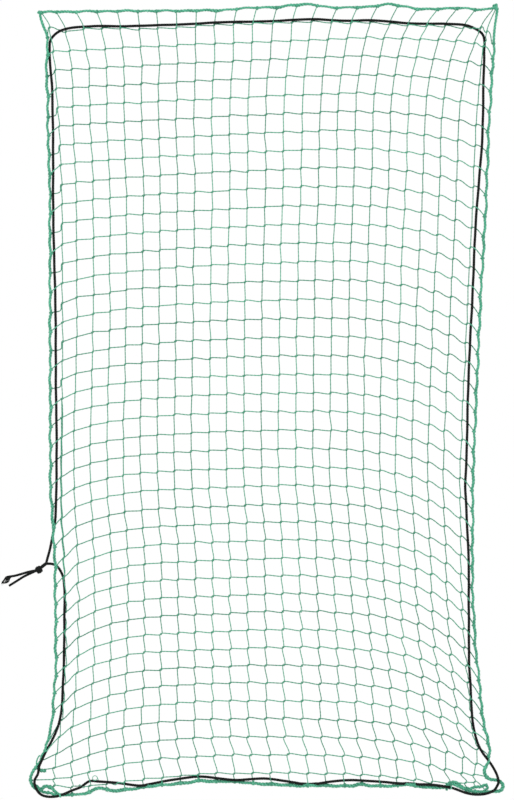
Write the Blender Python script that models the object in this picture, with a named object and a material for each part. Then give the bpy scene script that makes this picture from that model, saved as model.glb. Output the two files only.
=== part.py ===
"""Golf chipping net: a hanging panel of knotted square-mesh netting with a thicker
border rope round its edge and a black drawcord threaded through the outermost meshes.

Frame: +Z up, +X to the right seen from the front, the front faces -Y. The origin is the
flat facet on top of the border rope, midway along the top edge. Lengths below are in
millimetres and are turned into metres when the meshes are made.

The flexible net is held as seven horizontal panels that hinge on each other, because it
swings on its top rope and folds up in a zigzag. The ropes are cut at the same lines.
"""

import math
from typing import NamedTuple

import bmesh
import bpy
from mathutils import Vector

MM = 0.001

# ---- driving dimensions ---------------------------------------------------------------
COLUMNS = 26  # meshes across
ROWS = 43  # meshes down
PANEL_ROWS = [0, 7, 13, 19, 25, 32, 38, 43]  # mesh rows where one panel ends
PANELS = len(PANEL_ROWS) - 1
HALF_TWINE = 1.4 / 2
BORDER_R = 1.65  # border rope radius
BOTTOM_R = 2.0  # the bottom border rope is a little stouter
CORD_R = 1.4  # drawcord radius
CORD_Y = -3.5  # the drawcord lies in front of the net plane
BACK_Y = 3.5  # where both ends of the drawcord pass behind the border rope

# Fold lines lie just outside the ropes, front and back in turn
HINGE_Y = 5.4
TOP_HINGE_Z = -3.2
HINGE_COLUMN = 8  # the column a fold line's height is taken from
HINGE_DROP = 4.0  # how far the fold line lies below that column's knot

# Clearances between neighbouring pieces
GAP = 0.35
TOP_TWINE_GAP = GAP + 0.45  # twine end to top rope
SIDE_TWINE_GAP = GAP + 0.75  # twine end to side rope
BOTTOM_TWINE_GAP = GAP + 0.6  # twine end to bottom rope
LOOP_TWINE_GAP = GAP + 2.2  # twine end to the rope loop at the bottom right corner
FOLD_TWINE_GAP = GAP + 0.25  # twine end to the next panel's top row
ROPE_TOP_GAP = 1.1  # side rope to top rope
ROPE_CUT = 0.2  # side rope end to the row it is cut at
CORD_CUT_ABOVE_ROW = 1.2
CORD_CUT_GAP = 0.4  # between two side runs of the drawcord
CORD_TOP_GAP = 0.6  # between the top run's corners and the side runs

# Longest spacing of the points along each kind of run
ROPE_STEP = 26.0
CORD_STEP = 20.0
CROSSING_STEP = 7.0  # where the drawcord passes through the net


# ---- small helpers --------------------------------------------------------------------
def along(points, at):
    """Piecewise-linear reading of a list of (position, value) pairs."""
    rising = points[0][0] < points[-1][0]
    ordered = points if rising else points[::-1]
    if at <= ordered[0][0]:
        return ordered[0][1]
    for (start, start_value), (end, end_value) in zip(ordered, ordered[1:]):
        if at <= end:
            return start_value + (end_value - start_value) * (at - start) / (end - start)
    return ordered[-1][1]


def ease(at, start, end):
    """Smooth step from 0 at start to 1 at end."""
    share = min(1.0, max(0.0, (at - start) / (end - start)))
    return share * share * (3 - 2 * share)


def bell(at, middle, width):
    """Bell curve, 1 at the middle."""
    return math.exp(-(((at - middle) / width) ** 2))


def swells(x, bumps):
    """Sum of bell-shaped bumps, each (x, half width, height)."""
    return sum(height * bell(x, middle, width) for middle, width, height in bumps)


def at_depth(points, y):
    """Sets a list of (x, z) points at one depth."""
    return [(x, y, z) for x, z in points]


# ---- border rope lines ----------------------------------------------------------------
LEFT_EDGE = [  # (z, x) down the left border rope
    (-8, -305), (-35, -298), (-70, -296), (-230, -292), (-640, -290), (-740, -284),
    (-880, -284), (-950, -289), (-985, -296), (-1007, -306),
]
RIGHT_EDGE = [  # (z, x) down the right border rope
    (-6, 305), (-35, 301), (-160, 293), (-270, 289), (-390, 282), (-620, 272),
    (-770, 271), (-850, 275), (-925, 283), (-965, 286), (-985, 293), (-1005, 292),
    (-1016, 286.5), (-1040, 286.5),
]
TOP_EDGE = [  # (x, z) along the top border rope, before it is lifted onto the origin
    (-305, -8), (-270, -7.5), (-200, -6.6), (-110, -6.2), (-60, -5.2), (-14, -1.65),
    (14, -1.65), (32, 1.6), (56, 2.0), (80, -1.3), (125, -1.4), (160, 2.2), (182, -0.6),
    (205, -4.2), (250, -2.6), (285, -4.6), (305, -1.2),
]
CORNER_LEFT = [  # (x, z) of the rope bunched at the bottom left corner
    (-308.5, -1010.5), (-314, -1019), (-316.5, -1029), (-312.5, -1038), (-304, -1042.5),
    (-297, -1037.5), (-288, -1040.5), (-282.5, -1046),
]
LOOP_FOOT = [  # (x, z) of the loop at the bottom right corner, its run back to the left
    (291, -1043), (282, -1040), (272, -1042.5), (262, -1041), (252, -1036),
    (243, -1037), (239.5, -1040.5),
]
CORNER_RIGHT = [  # (x, z) of the whole loop
    (290.5, -1009), (287, -1016), (288.5, -1023), (294, -1028), (303, -1029.5),
    (309, -1032), (312, -1037), (309, -1043.5), (300, -1045), *LOOP_FOOT,
]

BOTTOM_Z = -1037.0  # the level the bottom border rope hangs at
BOTTOM_LEFT_X = -278
BOTTOM_RIGHT_X = 236
BOTTOM_TIES = [(-226, 11, 6.5), (-90, 9, 1.5), (122, 7, 2), (184, 6, 2)]  # kinks, as swells
BOTTOM_SWELLS = [(-68, 65, 6), *BOTTOM_TIES]  # also drawn up left of the middle


def rope_bottom(x):
    """Height of the bottom border rope: it drops to the left corner and a little to the
    right."""
    left_drop = 12 * ease(-x, 120, 275)
    right_drop = 3 * ease(x, 185, 240)
    return BOTTOM_Z + swells(x, BOTTOM_SWELLS) - left_drop - right_drop


BOTTOM_STATIONS = sorted({  # x, closer together at the kinks
    BOTTOM_LEFT_X,
    BOTTOM_RIGHT_X,
    *range(-266, 230, 20),
    *(tie[0] + offset for tie in BOTTOM_TIES for offset in (-9, 0, 9)),
})
BOTTOM_EDGE = [(x, rope_bottom(x)) for x in BOTTOM_STATIONS]

# ---- drawcord lines -------------------------------------------------------------------
CORD_LEFT = [  # (z, x) down the left run
    (-45, -290), (-100, -288), (-235, -286.5), (-390, -284), (-560, -281.5),
    (-665, -283), (-685, -283.4), (-700, -286.4), (-718, -289.6), (-770, -272),
    (-870, -274), (-930, -277), (-980, -285), (-1000, -297), (-1020, -306),
    (-1040, -312),
]
CORD_RIGHT = [  # (z, x) down the right run
    (-45, 287), (-175, 284), (-290, 276), (-440, 268), (-580, 264), (-640, 261),
    (-740, 267), (-870, 266), (-950, 270.5), (-980, 276), (-1000, 287), (-1020, 300),
    (-1040, 306),
]

# Rounded corners of the top run: x and z of the arc's centre, radius
CORD_ARC_LEFT = (-270, -48, 20)
CORD_ARC_RIGHT = (268, -44, 18)
ARC_SEGMENTS = 4

CORD_BOTTOM_Z = -1031.0  # the level of the drawcord along the bottom
CORD_SWELLS = [(-172, 30, -5.5), (-91, 40, 6), (-10, 25, 3.5), (54, 20, -4), (115, 20, 1.5)]


def cord_bottom(x):
    """Height of the drawcord along the bottom."""
    return CORD_BOTTOM_Z + swells(x, CORD_SWELLS) - 4 * ease(x, 120, 215)


CORD_BOTTOM = [  # (x, z) round the left corner, along the bottom, round the right corner
    (-306.5, -1020.8), (-311.5, -1030), (-309, -1040), (-303, -1048), (-295, -1051.6),
    (-283, -1051.8), (-270, -1049), (-250, -1038.5),
    *((x, cord_bottom(x)) for x in range(-238, 216, 17)),
    (235, -1038), (255, -1046), (275, -1049.5), (290, -1048), (302, -1042), (306, -1034),
    (302.5, -1025.3),
]

# The drawcord's two ends leave the left run in this panel
EXIT_PANEL = 5
EXIT_UPPER_Z = -716.0
EXIT_LOWER_Z = -770.0
CROSSING_UPPER_Z = -669.0  # below here the upper run passes through to the back
CROSSING_UPPER_LENGTH = 16
CROSSING_LOWER_LENGTH = 13  # the lower run comes to the front over this height

LEG_JOIN = (-296.0, 0.0, -741.5)  # where the two legs meet
LEG_UPPER = [  # (x, y, z)
    (-289.5, BACK_Y, -716.6), (-291.2, 2.4, -724), (-293.6, 0.2, -733),
    (-295.7, -1.9, -740.8),
]
LEG_LOWER = [  # (x, y, z)
    (-272.2, BACK_Y, -769.2), (-273.4, 3.7, -760), (-277, 3.8, -751),
    (-281.5, 3.7, -745.4), (-287.5, 3.5, -742.4), (-295.2, 1.9, -741.6),
]
OVERHAND_KNOT = [  # (x, z, radius) from the neck, through the overhand knot
    (-298.2, -743.4, 2.3), (-300.6, -745.2, 2.4), (-302.4, -746.6, 4.0),
    (-305.2, -748.8, 5.2), (-308.0, -750.4, 4.4), (-310.0, -751.2, 2.6),
]
TAIL_Y = 1.75  # the two tails lie side by side, the upper one in front
TAIL_UPPER = [(-311.8, -751.0), (-320, -752.6), (-329.2, -755.6), (-343.1, -759.6)]  # (x, z)
TAIL_LOWER = [(-311.8, -752.0), (-326.2, -758.6), (-345.4, -771.1)]  # (x, z)
TAIL_END = [(-343.9, -759.9), (-348.7, -761.8), (-354.4, -767.8)]  # (x, z)
TAIL_END_RADII = [CORD_R, 1.9, 1.6]


class Side(NamedTuple):
    """What differs between the left and right edges of the net."""

    name: str
    edge: list  # border rope line
    column: int  # net column on the border rope
    cord: list  # drawcord line
    rope_corner_z: float  # height of the top rope at this corner
    rope_end_z: float
    cord_start_z: float
    cord_end_z: float


SIDES = (
    Side(
        name="left",
        edge=LEFT_EDGE,
        column=0,
        cord=CORD_LEFT,
        rope_corner_z=-8.0,
        rope_end_z=-1007.5,
        cord_start_z=CORD_ARC_LEFT[1] - CORD_TOP_GAP,
        cord_end_z=-1019.8,
    ),
    Side(
        name="right",
        edge=RIGHT_EDGE,
        column=COLUMNS,
        cord=CORD_RIGHT,
        rope_corner_z=-2.2,
        rope_end_z=-1005.0,
        cord_start_z=CORD_ARC_RIGHT[1] - CORD_TOP_GAP,
        cord_end_z=-1024.3,
    ),
)

# ---- the hanging shape of the net -----------------------------------------------------
# Rows and columns may be fractions, for places between the knots. The rows arch because
# the edges hang lower than the middle.
ROW_DROP = 24.35  # the drawn-out row spacing
FIRST_ROW_Z = -20.0  # row 1 at the middle of the net
MIDDLE_SAG = 6.5  # greatest extra drop of the middle of the net
INNER_LEFT = 2  # the columns between these two are evenly spread, but for a bow
INNER_RIGHT = COLUMNS - 2
EDGE_REACH = 3.0  # columns over which the sag at an edge fades
LEVEL_COLUMN = 15  # the tilted upper rows hang lower left of this column
LOWEST_Z = -1049.0  # no row hangs below this


def middle_z(row):
    """Height of a row at the middle of the net."""
    belly = MIDDLE_SAG * math.sin(math.pi * ease(row, 6, ROWS))
    return FIRST_ROW_Z - ROW_DROP * (row - 1) - belly


def sag(column, row):
    """How far a row hangs below its middle at a column."""
    tilt = 15 * (1 - ease(row, 8, 34))
    left = 37 * ease(row, 2, 34) - 5 * bell(row, 22, 5.0)
    right = 5 + 18 * ease(row, 1, 14) + 13 * ease(row, 14, 34) - 7 * ease(row, 34, 42)
    fall = left * math.exp(-(column - INNER_LEFT) / EDGE_REACH)
    fall += tilt * (LEVEL_COLUMN - min(column, 18)) / (LEVEL_COLUMN - INNER_LEFT)
    fall += (right + 0.23 * tilt) * math.exp((column - INNER_RIGHT) / EDGE_REACH)
    # a shallow dip left of the middle in the lower rows
    fall += 3.0 * bell(column, 10, 3.5) * ease(row, 22, 28) * (1 - ease(row, 34, 38))
    if row == 1:  # the drawcord bears down on the first row left of the middle
        fall += 5.0 * (1 - ease(column, 10, 15))
    # the bottom rope stops the edges from hanging lower
    floor = LOWEST_Z + 8.0 * ease(column, 21, 23.5)
    if fall > 0.01:
        room = max(0.0, middle_z(row) - floor) / fall
        fall *= 1 - math.exp(-(room**1.5))
    return fall


def inner_left_x(row, z):
    """x of column INNER_LEFT."""
    x = along(LEFT_EDGE, max(z, -960)) + 34.0
    x += 2.6 * (ease(row, 6, 10) - ease(row, 16, 20))
    x -= 3.2 * ease(row, 19, 23) + 1.2 * ease(row, 33, 36)
    # the top rope is drawn out wider than the net below it, so the columns lean outwards
    return x - 9.1 * max(0.0, 1 - row / 3.0) ** 1.2


def inner_right_x(row, z):
    """x of column INNER_RIGHT, which leans outwards at the top as well."""
    x = along(RIGHT_EDGE, z) - 40.0 + 5.5 * ease(row, 24, 30) + 7.0 * ease(row, 39, 43)
    return x + 31.7 * max(0.0, 1 - row / 6.0) ** 2.2


def bow(across, column, row):
    """Sideways shift of the inner columns; across runs from 0 to 1 between them."""
    shift = -2.7 * math.sin(2 * math.pi * across)
    shift += 4.0 * math.sin(math.pi * across) * bell(row, 26, 8.0)
    shift -= 3.0 * math.sin(math.pi * across**1.4) * bell(row, 15, 7.0)
    shift += 4.5 * math.sin(math.pi * across**3) * bell(row, 35, 4.0)
    return shift + 5.0 * ease(row, 40.5, 42) * ease(column, 3, 8)


def edge_share(first, meshes):
    """Share of a two-mesh strip covered after some meshes, the first one taking first."""
    return first * meshes if meshes <= 1 else first + (1 - first) * (meshes - 1)


def column_x(column, row, z):
    """x of a column where it crosses a row at height z."""
    left = along(LEFT_EDGE, z)
    right = along(RIGHT_EDGE, z)
    if column <= 0:
        return left
    if column >= COLUMNS:
        return right
    inner_left = inner_left_x(row, z)
    inner_right = inner_right_x(row, z)
    if column < INNER_LEFT:
        first = 0.47 - 0.13 * (1 - ease(row, 2, 8)) - 0.2 * (1 - ease(row, 0, 1))
        return left + (inner_left - left) * edge_share(first, column)
    if column > INNER_RIGHT:
        first = 0.57 - 0.14 * (1 - ease(row, 1, 3.5)) + 0.3 * (1 - ease(row, 0, 1))
        return inner_right + (right - inner_right) * edge_share(first, column - INNER_RIGHT)
    across = (column - INNER_LEFT) / (INNER_RIGHT - INNER_LEFT)
    return inner_left + (inner_right - inner_left) * across + bow(across, column, row)


def knot(column, row):
    """(x, z) of the knot of a column and a row."""
    z = middle_z(row) - sag(column, row) * ease(row, 0, 1.5)
    return column_x(column, row, z), z


def row_height(row, x):
    """Height of a row where it passes x."""
    for column in range(COLUMNS):
        (left_x, left_z), (right_x, right_z) = knot(column, row), knot(column + 1, row)
        if left_x <= x <= right_x:
            return left_z + (right_z - left_z) * (x - left_x) / (right_x - left_x)
    return knot(0 if x < 0 else COLUMNS, row)[1]


def cord_cut(cord, row):
    """Height at which a side run of the drawcord is cut, just clear above a row."""
    z = middle_z(row) - 30.0
    for _ in range(4):  # closes in on where the cord crosses the row
        x = along(cord, z)
        z = row_height(row, x)
    return max(row_height(row, x - CORD_R), row_height(row, x + CORD_R)) + CORD_CUT_ABOVE_ROW


def hinge(panel):
    """A point on the hinge above a panel, counted from 1."""
    if panel == 1:
        return (0.0, 0.0, TOP_HINGE_Z)
    z = round(knot(HINGE_COLUMN, PANEL_ROWS[panel - 1])[1] - HINGE_DROP, 1)
    return (0.0, -HINGE_Y if panel % 2 == 0 else HINGE_Y, z)


# ---- materials and objects ------------------------------------------------------------
class Finish(NamedTuple):
    colour: tuple
    roughness: float


ROPE_FINISH = Finish(colour=(0.05, 0.30, 0.17), roughness=0.8)
TWINE_FINISH = Finish(colour=(0.09, 0.26, 0.18), roughness=0.75)
CORD_FINISH = Finish(colour=(0.012, 0.012, 0.013), roughness=0.8)
SHARP_ANGLE = math.radians(50)


def make_material(name, finish):
    material = bpy.data.materials.new(name)
    material.use_nodes = True
    inputs = material.node_tree.nodes["Principled BSDF"].inputs
    inputs["Base Color"].default_value = (*finish.colour, 1)
    inputs["Roughness"].default_value = finish.roughness
    inputs["Metallic"].default_value = 0.0
    return material


def add_object(bm, name, finish, origin, smooth):
    """Makes the object, with its origin at a point on its joint's axis."""
    bmesh.ops.recalc_face_normals(bm, faces=bm.faces)
    if bm.calc_volume(signed=True) < 0:
        bmesh.ops.reverse_faces(bm, faces=bm.faces)
    location = Vector(origin) * MM
    for vertex in bm.verts:
        vertex.co = vertex.co * MM - location
    mesh = bpy.data.meshes.new(name)
    bm.to_mesh(mesh)
    bm.free()
    if smooth:
        mesh.shade_smooth()
        mesh.set_sharp_from_angle(angle=SHARP_ANGLE)
    mesh.materials.append(make_material(name + "_finish", finish))
    obj = bpy.data.objects.new(name, mesh)
    obj.location = location
    bpy.context.scene.collection.objects.link(obj)


# ---- ropes and drawcord ---------------------------------------------------------------
def tube(name, path, radius, finish, origin, sides=6):
    """A rope: a closed tube of flat facets along a path of (x, y, z) points. radius is
    one number or one per point. One facet faces up wherever the rope runs level."""
    points = [Vector(point) for point in path]
    radii = radius if isinstance(radius, list) else [radius] * len(points)
    ways = [(end - start).normalized() for start, end in zip(points, points[1:])]
    bm = bmesh.new()
    rings = []
    for point, size, before, after in zip(points, radii, ways[:1] + ways, ways + ways[-1:]):
        way = (before + after).normalized()
        stretch = 1.0 / max(0.6, way.dot(after))  # keeps the thickness round a bend
        side = Vector((0, 1, 0)) - way * way.y
        side.normalize()
        up = side.cross(way).normalized()
        ring = []
        for k in range(sides):
            angle = 2 * math.pi * (k + 0.5) / sides
            offset = side * math.sin(angle) * size + up * math.cos(angle) * size * stretch
            ring.append(bm.verts.new(point + offset))
        rings.append(ring)
    for ring, following in zip(rings, rings[1:]):
        for k in range(sides):
            n = (k + 1) % sides
            bm.faces.new((ring[k], ring[n], following[n], following[k]))
    bm.faces.new(rings[0][::-1])
    bm.faces.new(rings[-1])
    add_object(bm, name, finish, origin, smooth=True)


def rope(name, path, origin, radius=BORDER_R):
    tube(name, path, radius, ROPE_FINISH, origin)


def cord(name, path, origin, radius=CORD_R, sides=6):
    tube(name, path, radius, CORD_FINISH, origin, sides)


def run_down(line, z_from, z_to, step, depth_at):
    """Points down a (z, x) line between two heights; depth_at gives y for a height."""
    count = max(2, int(round(abs(z_to - z_from) / step)) + 1)
    heights = [z_from + (z_to - z_from) * i / (count - 1) for i in range(count)]
    return [(along(line, z), depth_at(z), z) for z in heights]


def side_rope(side, panel):
    """One panel's length of a side border rope."""
    first, last = PANEL_ROWS[panel - 1 : panel + 1]
    if panel == 1:
        start = side.rope_corner_z - BORDER_R - ROPE_TOP_GAP
    else:
        start = knot(side.column, first)[1] - ROPE_CUT
    end = knot(side.column, last)[1] + ROPE_CUT if panel < PANELS else side.rope_end_z
    path = run_down(side.edge, start, end, ROPE_STEP, lambda z: 0.0)
    rope(f"border_rope_{side.name}_{panel}", path, hinge(panel))


def crossing_y(share):
    """Depth of the drawcord on its way through the net, from front (0) to back (1)."""
    return CORD_Y + (BACK_Y - CORD_Y) * share


def upper_exit_y(z):
    return crossing_y(ease(CROSSING_UPPER_Z - z, 0, CROSSING_UPPER_LENGTH))


def lower_exit_y(z):
    return crossing_y(1 - ease(EXIT_LOWER_Z - z, 0, CROSSING_LOWER_LENGTH))


def side_cord(side, panel):
    """One panel's length of a side run of the drawcord, in two where its ends leave."""
    first, last = PANEL_ROWS[panel - 1 : panel + 1]
    start = side.cord_start_z if panel == 1 else cord_cut(side.cord, first)
    end = cord_cut(side.cord, last) + CORD_CUT_GAP if panel < PANELS else side.cord_end_z
    if side.name == "left" and panel == EXIT_PANEL:
        runs = [
            ("_upper", start, EXIT_UPPER_Z, CROSSING_STEP, upper_exit_y),
            ("_lower", EXIT_LOWER_Z, end, CROSSING_STEP, lower_exit_y),
        ]
    else:
        runs = [("", start, end, CORD_STEP, lambda z: CORD_Y)]
    for suffix, z_from, z_to, step, depth_at in runs:
        path = run_down(side.cord, z_from, z_to, step, depth_at)
        cord(f"drawcord_{side.name}_{panel}{suffix}", path, hinge(panel))


def top_rope():
    """The net hangs from it. It is lifted so that its top facet passes the origin."""
    facet_height = BORDER_R * math.cos(math.pi / 6)  # centre line to facet
    path = [(x, 0.0, z + BORDER_R - facet_height) for x, z in TOP_EDGE]
    rope("border_rope_top", path, (0, 0, 0))


def quarter_arc(arc, start):
    """(x, z) points clockwise, seen from the front, from an angle in half turns."""
    centre_x, centre_z, radius = arc
    angles = [math.pi * (start - 0.5 * i / ARC_SEGMENTS) for i in range(ARC_SEGMENTS + 1)]
    return [
        (centre_x + radius * math.cos(angle), centre_z + radius * math.sin(angle))
        for angle in angles
    ]


def top_cord():
    """Top run of the drawcord with its two rounded corners."""
    path = quarter_arc(CORD_ARC_LEFT, 1)
    path += [(x, -27 + 11 * bell(x, 60, 170.0)) for x in range(-240, 261, 25)]
    path += quarter_arc(CORD_ARC_RIGHT, 0.5)
    cord("drawcord_top", at_depth(path, CORD_Y), hinge(1))


def bottom_edge():
    """Border rope and drawcord along the bottom, and the rope at the two corners."""
    origin = hinge(PANELS)
    rope("border_rope_bottom", at_depth(BOTTOM_EDGE, 0.0), origin, BOTTOM_R)
    cord("drawcord_bottom", at_depth(CORD_BOTTOM, CORD_Y), origin)
    rope("border_rope_corner_left", at_depth(CORNER_LEFT, 0.0), origin)
    rope("border_rope_corner_right", at_depth(CORNER_RIGHT, 0.0), origin)


def cord_ends():
    """Where the drawcord leaves: two legs, one overhand knot, two tails."""
    cord("drawcord_leg_upper", LEG_UPPER, LEG_JOIN)
    cord("drawcord_leg_lower", LEG_LOWER, LEG_JOIN)
    path = [(x, 0.0, z) for x, z, _ in OVERHAND_KNOT]
    radii = [radius for _, _, radius in OVERHAND_KNOT]
    cord("drawcord_knot", path, LEG_JOIN, radii, sides=10)
    upper = at_depth(TAIL_UPPER, -TAIL_Y)
    lower = at_depth(TAIL_LOWER, TAIL_Y)
    cord("drawcord_tail_upper", upper, upper[0])
    cord("drawcord_tail_lower", lower, lower[0])
    cord("drawcord_tail_end", at_depth(TAIL_END, -TAIL_Y), upper[0], TAIL_END_RADII)


# ---- netting --------------------------------------------------------------------------
# A bar has a flat front and a ridged back. Each of its ends is a triangle of two front
# vertices and one back vertex.
def add_bar(bm, start, end):
    bm.faces.new((start[0], start[1], end[1], end[0]))
    bm.faces.new((start[1], start[2], end[2], end[1]))
    bm.faces.new((start[2], start[0], end[0], end[2]))


def add_stub(bm, start, points):
    """A bar from one side of a knot to a closed free end."""
    end = [bm.verts.new(point) for point in points]
    add_bar(bm, start, end)
    bm.faces.new(end)


def add_knot(bm, column, row):
    """Four front corners and one point at the back. Returns the front corners and the
    triangle on each side, where a bar joins."""
    x, z = knot(column, row)
    back = bm.verts.new((x, HALF_TWINE, z))
    left, right = knot(column - 0.5, row), knot(column + 0.5, row)
    slope = (right[1] - left[1]) / (right[0] - left[0])
    (bottom_left, top_left), (bottom_right, top_right) = [
        [
            bm.verts.new((x + dx, -HALF_TWINE, z + dz + slope * dx))
            for dz in (-HALF_TWINE, HALF_TWINE)
        ]
        for dx in (-HALF_TWINE, HALF_TWINE)
    ]
    return {
        "front": (bottom_left, bottom_right, top_right, top_left),
        "left": (top_left, bottom_left, back),
        "right": (top_right, bottom_right, back),
        "up": (top_left, top_right, back),
        "down": (bottom_left, bottom_right, back),
    }


def side_stub_end(column, edge_column, row):
    """End of the twine that stops just short of a side rope."""
    x, z = knot(column, row)
    edge_x, edge_z = knot(edge_column, row)
    share = 1 - (BORDER_R + SIDE_TWINE_GAP) / abs(edge_x - x)
    x += (edge_x - x) * share
    z += (edge_z - z) * share
    return [
        (x, -HALF_TWINE, z + HALF_TWINE),
        (x, -HALF_TWINE, z - HALF_TWINE),
        (x, HALF_TWINE, z),
    ]


def upright_stub_end(x, z):
    return [
        (x - HALF_TWINE, -HALF_TWINE, z),
        (x + HALF_TWINE, -HALF_TWINE, z),
        (x, HALF_TWINE, z),
    ]


def top_stub_end(column):
    x, _ = knot(column, 0.5)
    return upright_stub_end(x, along(TOP_EDGE, x) - BORDER_R - TOP_TWINE_GAP)


def lower_stub_end(column, last):
    """End of the twine above the next panel's top row, or above the rope at the bottom."""
    if last < ROWS:
        x, z = knot(column, last)
        return upright_stub_end(x, z + HALF_TWINE + FOLD_TWINE_GAP)
    x, _ = knot(column, last - 0.4)
    if x < BOTTOM_RIGHT_X:
        z = along(BOTTOM_EDGE, x) + BOTTOM_R + BOTTOM_TWINE_GAP
    else:  # over the loop of rope at the right corner
        z = along(LOOP_FOOT, x) + BORDER_R + LOOP_TWINE_GAP
    return upright_stub_end(x, z)


def net_panel(panel):
    """The netting of one panel: bars joined at the knots, with free ends at the border
    ropes and at the fold lines."""
    first, last = PANEL_ROWS[panel - 1 : panel + 1]
    rows = range(max(first, 1), last)
    columns = range(1, COLUMNS)
    bm = bmesh.new()
    knots = {(u, v): add_knot(bm, u, v) for v in rows for u in columns}

    for (u, v), sides in knots.items():
        bm.faces.new(sides["front"])
        if (u + 1, v) in knots:
            add_bar(bm, sides["right"], knots[u + 1, v]["left"])
        if (u, v + 1) in knots:
            add_bar(bm, sides["down"], knots[u, v + 1]["up"])

    for v in rows:
        for u, edge_column, way in ((1, 0, "left"), (COLUMNS - 1, COLUMNS, "right")):
            if v == ROWS - 1:  # the corner meshes are drawn up into the rope's loops
                bm.faces.new(knots[u, v][way])
            else:
                add_stub(bm, knots[u, v][way], side_stub_end(u, edge_column, v))

    for u in columns:
        lower = knots[u, rows[-1]]["down"]
        if last == ROWS and u == 1:  # no twine below the bottom left knot
            bm.faces.new(lower)
        else:
            add_stub(bm, lower, lower_stub_end(u, last))
        upper = knots[u, rows[0]]["up"]
        if first == 0:
            add_stub(bm, upper, top_stub_end(u))
        else:
            bm.faces.new(upper)
    add_object(bm, f"net_panel_{panel}", TWINE_FINISH, hinge(panel), smooth=False)


def main():
    for obj in list(bpy.data.objects):
        bpy.data.objects.remove(obj, do_unlink=True)
    top_rope()
    for panel in range(1, PANELS + 1):
        net_panel(panel)
        for side in SIDES:
            side_rope(side, panel)
            side_cord(side, panel)
    top_cord()
    bottom_edge()
    cord_ends()


main()
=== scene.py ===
"""Golf chipping net: the looks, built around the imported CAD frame.

The net hangs in the XZ plane from its top rope at z = 0, and its front faces -Y. Every twine is
a two-ply twisted line with a tied knot at each crossing. The border is a loosely laid
three-strand rope lashed to the net at each mesh, and the drawcord is a braided cord woven
through the outermost meshes and tied off at the left.

Lengths are in millimetres here and become metres when a mesh is made. Columns of the net are
counted by u from the left (-X) and rows by v from the top; 0 and the last are the border.
"""

import math

import bpy
import numpy as np
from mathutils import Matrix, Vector, kdtree


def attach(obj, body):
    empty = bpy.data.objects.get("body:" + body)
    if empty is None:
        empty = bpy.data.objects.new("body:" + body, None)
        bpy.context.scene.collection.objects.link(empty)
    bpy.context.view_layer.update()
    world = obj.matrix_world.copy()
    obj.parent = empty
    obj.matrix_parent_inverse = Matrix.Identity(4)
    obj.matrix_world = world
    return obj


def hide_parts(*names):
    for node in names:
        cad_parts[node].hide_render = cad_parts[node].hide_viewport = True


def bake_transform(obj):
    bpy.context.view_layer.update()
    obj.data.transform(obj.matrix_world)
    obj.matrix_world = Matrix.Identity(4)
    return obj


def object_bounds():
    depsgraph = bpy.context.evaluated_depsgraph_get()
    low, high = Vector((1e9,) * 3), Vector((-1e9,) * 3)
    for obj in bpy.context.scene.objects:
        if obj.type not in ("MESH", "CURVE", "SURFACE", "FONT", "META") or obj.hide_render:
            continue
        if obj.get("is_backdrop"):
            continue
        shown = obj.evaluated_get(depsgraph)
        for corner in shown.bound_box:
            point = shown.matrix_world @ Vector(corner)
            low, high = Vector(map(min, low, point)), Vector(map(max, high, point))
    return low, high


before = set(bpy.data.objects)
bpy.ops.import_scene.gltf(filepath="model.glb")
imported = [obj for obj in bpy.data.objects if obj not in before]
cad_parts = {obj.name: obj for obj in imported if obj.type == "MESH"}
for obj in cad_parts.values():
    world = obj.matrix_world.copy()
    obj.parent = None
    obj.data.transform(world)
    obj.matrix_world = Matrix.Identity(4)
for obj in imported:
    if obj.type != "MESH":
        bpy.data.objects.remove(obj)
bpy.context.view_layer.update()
RNG = np.random.default_rng(26043)
MM = 0.001
TURN = 2 * math.pi

# ---- the hanging shape, the same rules as the CAD frame ---------------------------------
COLUMNS, ROWS = 26, 43
TWINE_R, ROW_TWINE_R, CORD_R, STRAND_R = 0.70, 0.76, 1.84, 0.95
ROW_DROP, FIRST_ROW_Z = 24.35, -20.0
CUTS = [0, 3.5, 9.5, 15.5, 21.5, 27.5, 34.5, 40.5, 43]  # where one netting piece ends

# outlines of the net and its border rope
LEFT_EDGE = [  # (z, x)
    (-8, -305), (-35, -298), (-70, -296), (-230, -292), (-640, -290), (-740, -284),
    (-880, -284), (-950, -289), (-985, -296), (-1007, -306),
]
RIGHT_EDGE = [  # (z, x)
    (-6, 305), (-35, 301), (-160, 293), (-270, 289), (-390, 282), (-620, 272),
    (-770, 271), (-850, 275), (-925, 283), (-965, 286), (-985, 293), (-1005, 292),
    (-1016, 286.5), (-1040, 286.5),
]
ROPE_LEFT = [  # (z, x) of the rope itself
    (-8, -305), (-19, -303.4), (-30, -298.4), (-41, -294), (-73, -294.8), (-94, -295.3),
    (-125, -293.5), (-178, -293.3), (-231, -290.8), (-640, -290), (-668, -288.3),
    (-697, -286.2), (-740, -284), (-880, -282.6), (-950, -287.6), (-985, -294.8),
    (-1007, -305.6),
]
ROPE_RIGHT = RIGHT_EDGE[:9] + [  # (z, x) of the rope itself
    (-955, 285.5), (-970, 289.8), (-985, 294.4), (-1000, 294.6), (-1010, 290.5), (-1016, 287),
]
TOP_EDGE = [  # (x, z)
    (-305, -8), (-270, -7.5), (-200, -6.6), (-110, -6.2), (-60, -5.2), (-14, -1.65),
    (14, -1.65), (32, 1.6), (56, 2.0), (80, -1.3), (125, -1.4), (160, 2.2), (182, -0.6),
    (205, -4.2), (250, -2.6), (285, -4.6), (303, -1.2),
]
BOTTOM_Z = -1037.0  # the level the bottom border rope hangs at
ROPE_SWELLS = [  # (x, half width, height): drawn up left of the middle, kinked up at four ties
    (-68, 65, 6), (-226, 11, 6.5), (-90, 9, 1.5), (122, 7, 2), (184, 6, 2),
]
CORD_Z = -1031.0  # the level of the drawcord along the bottom
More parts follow.
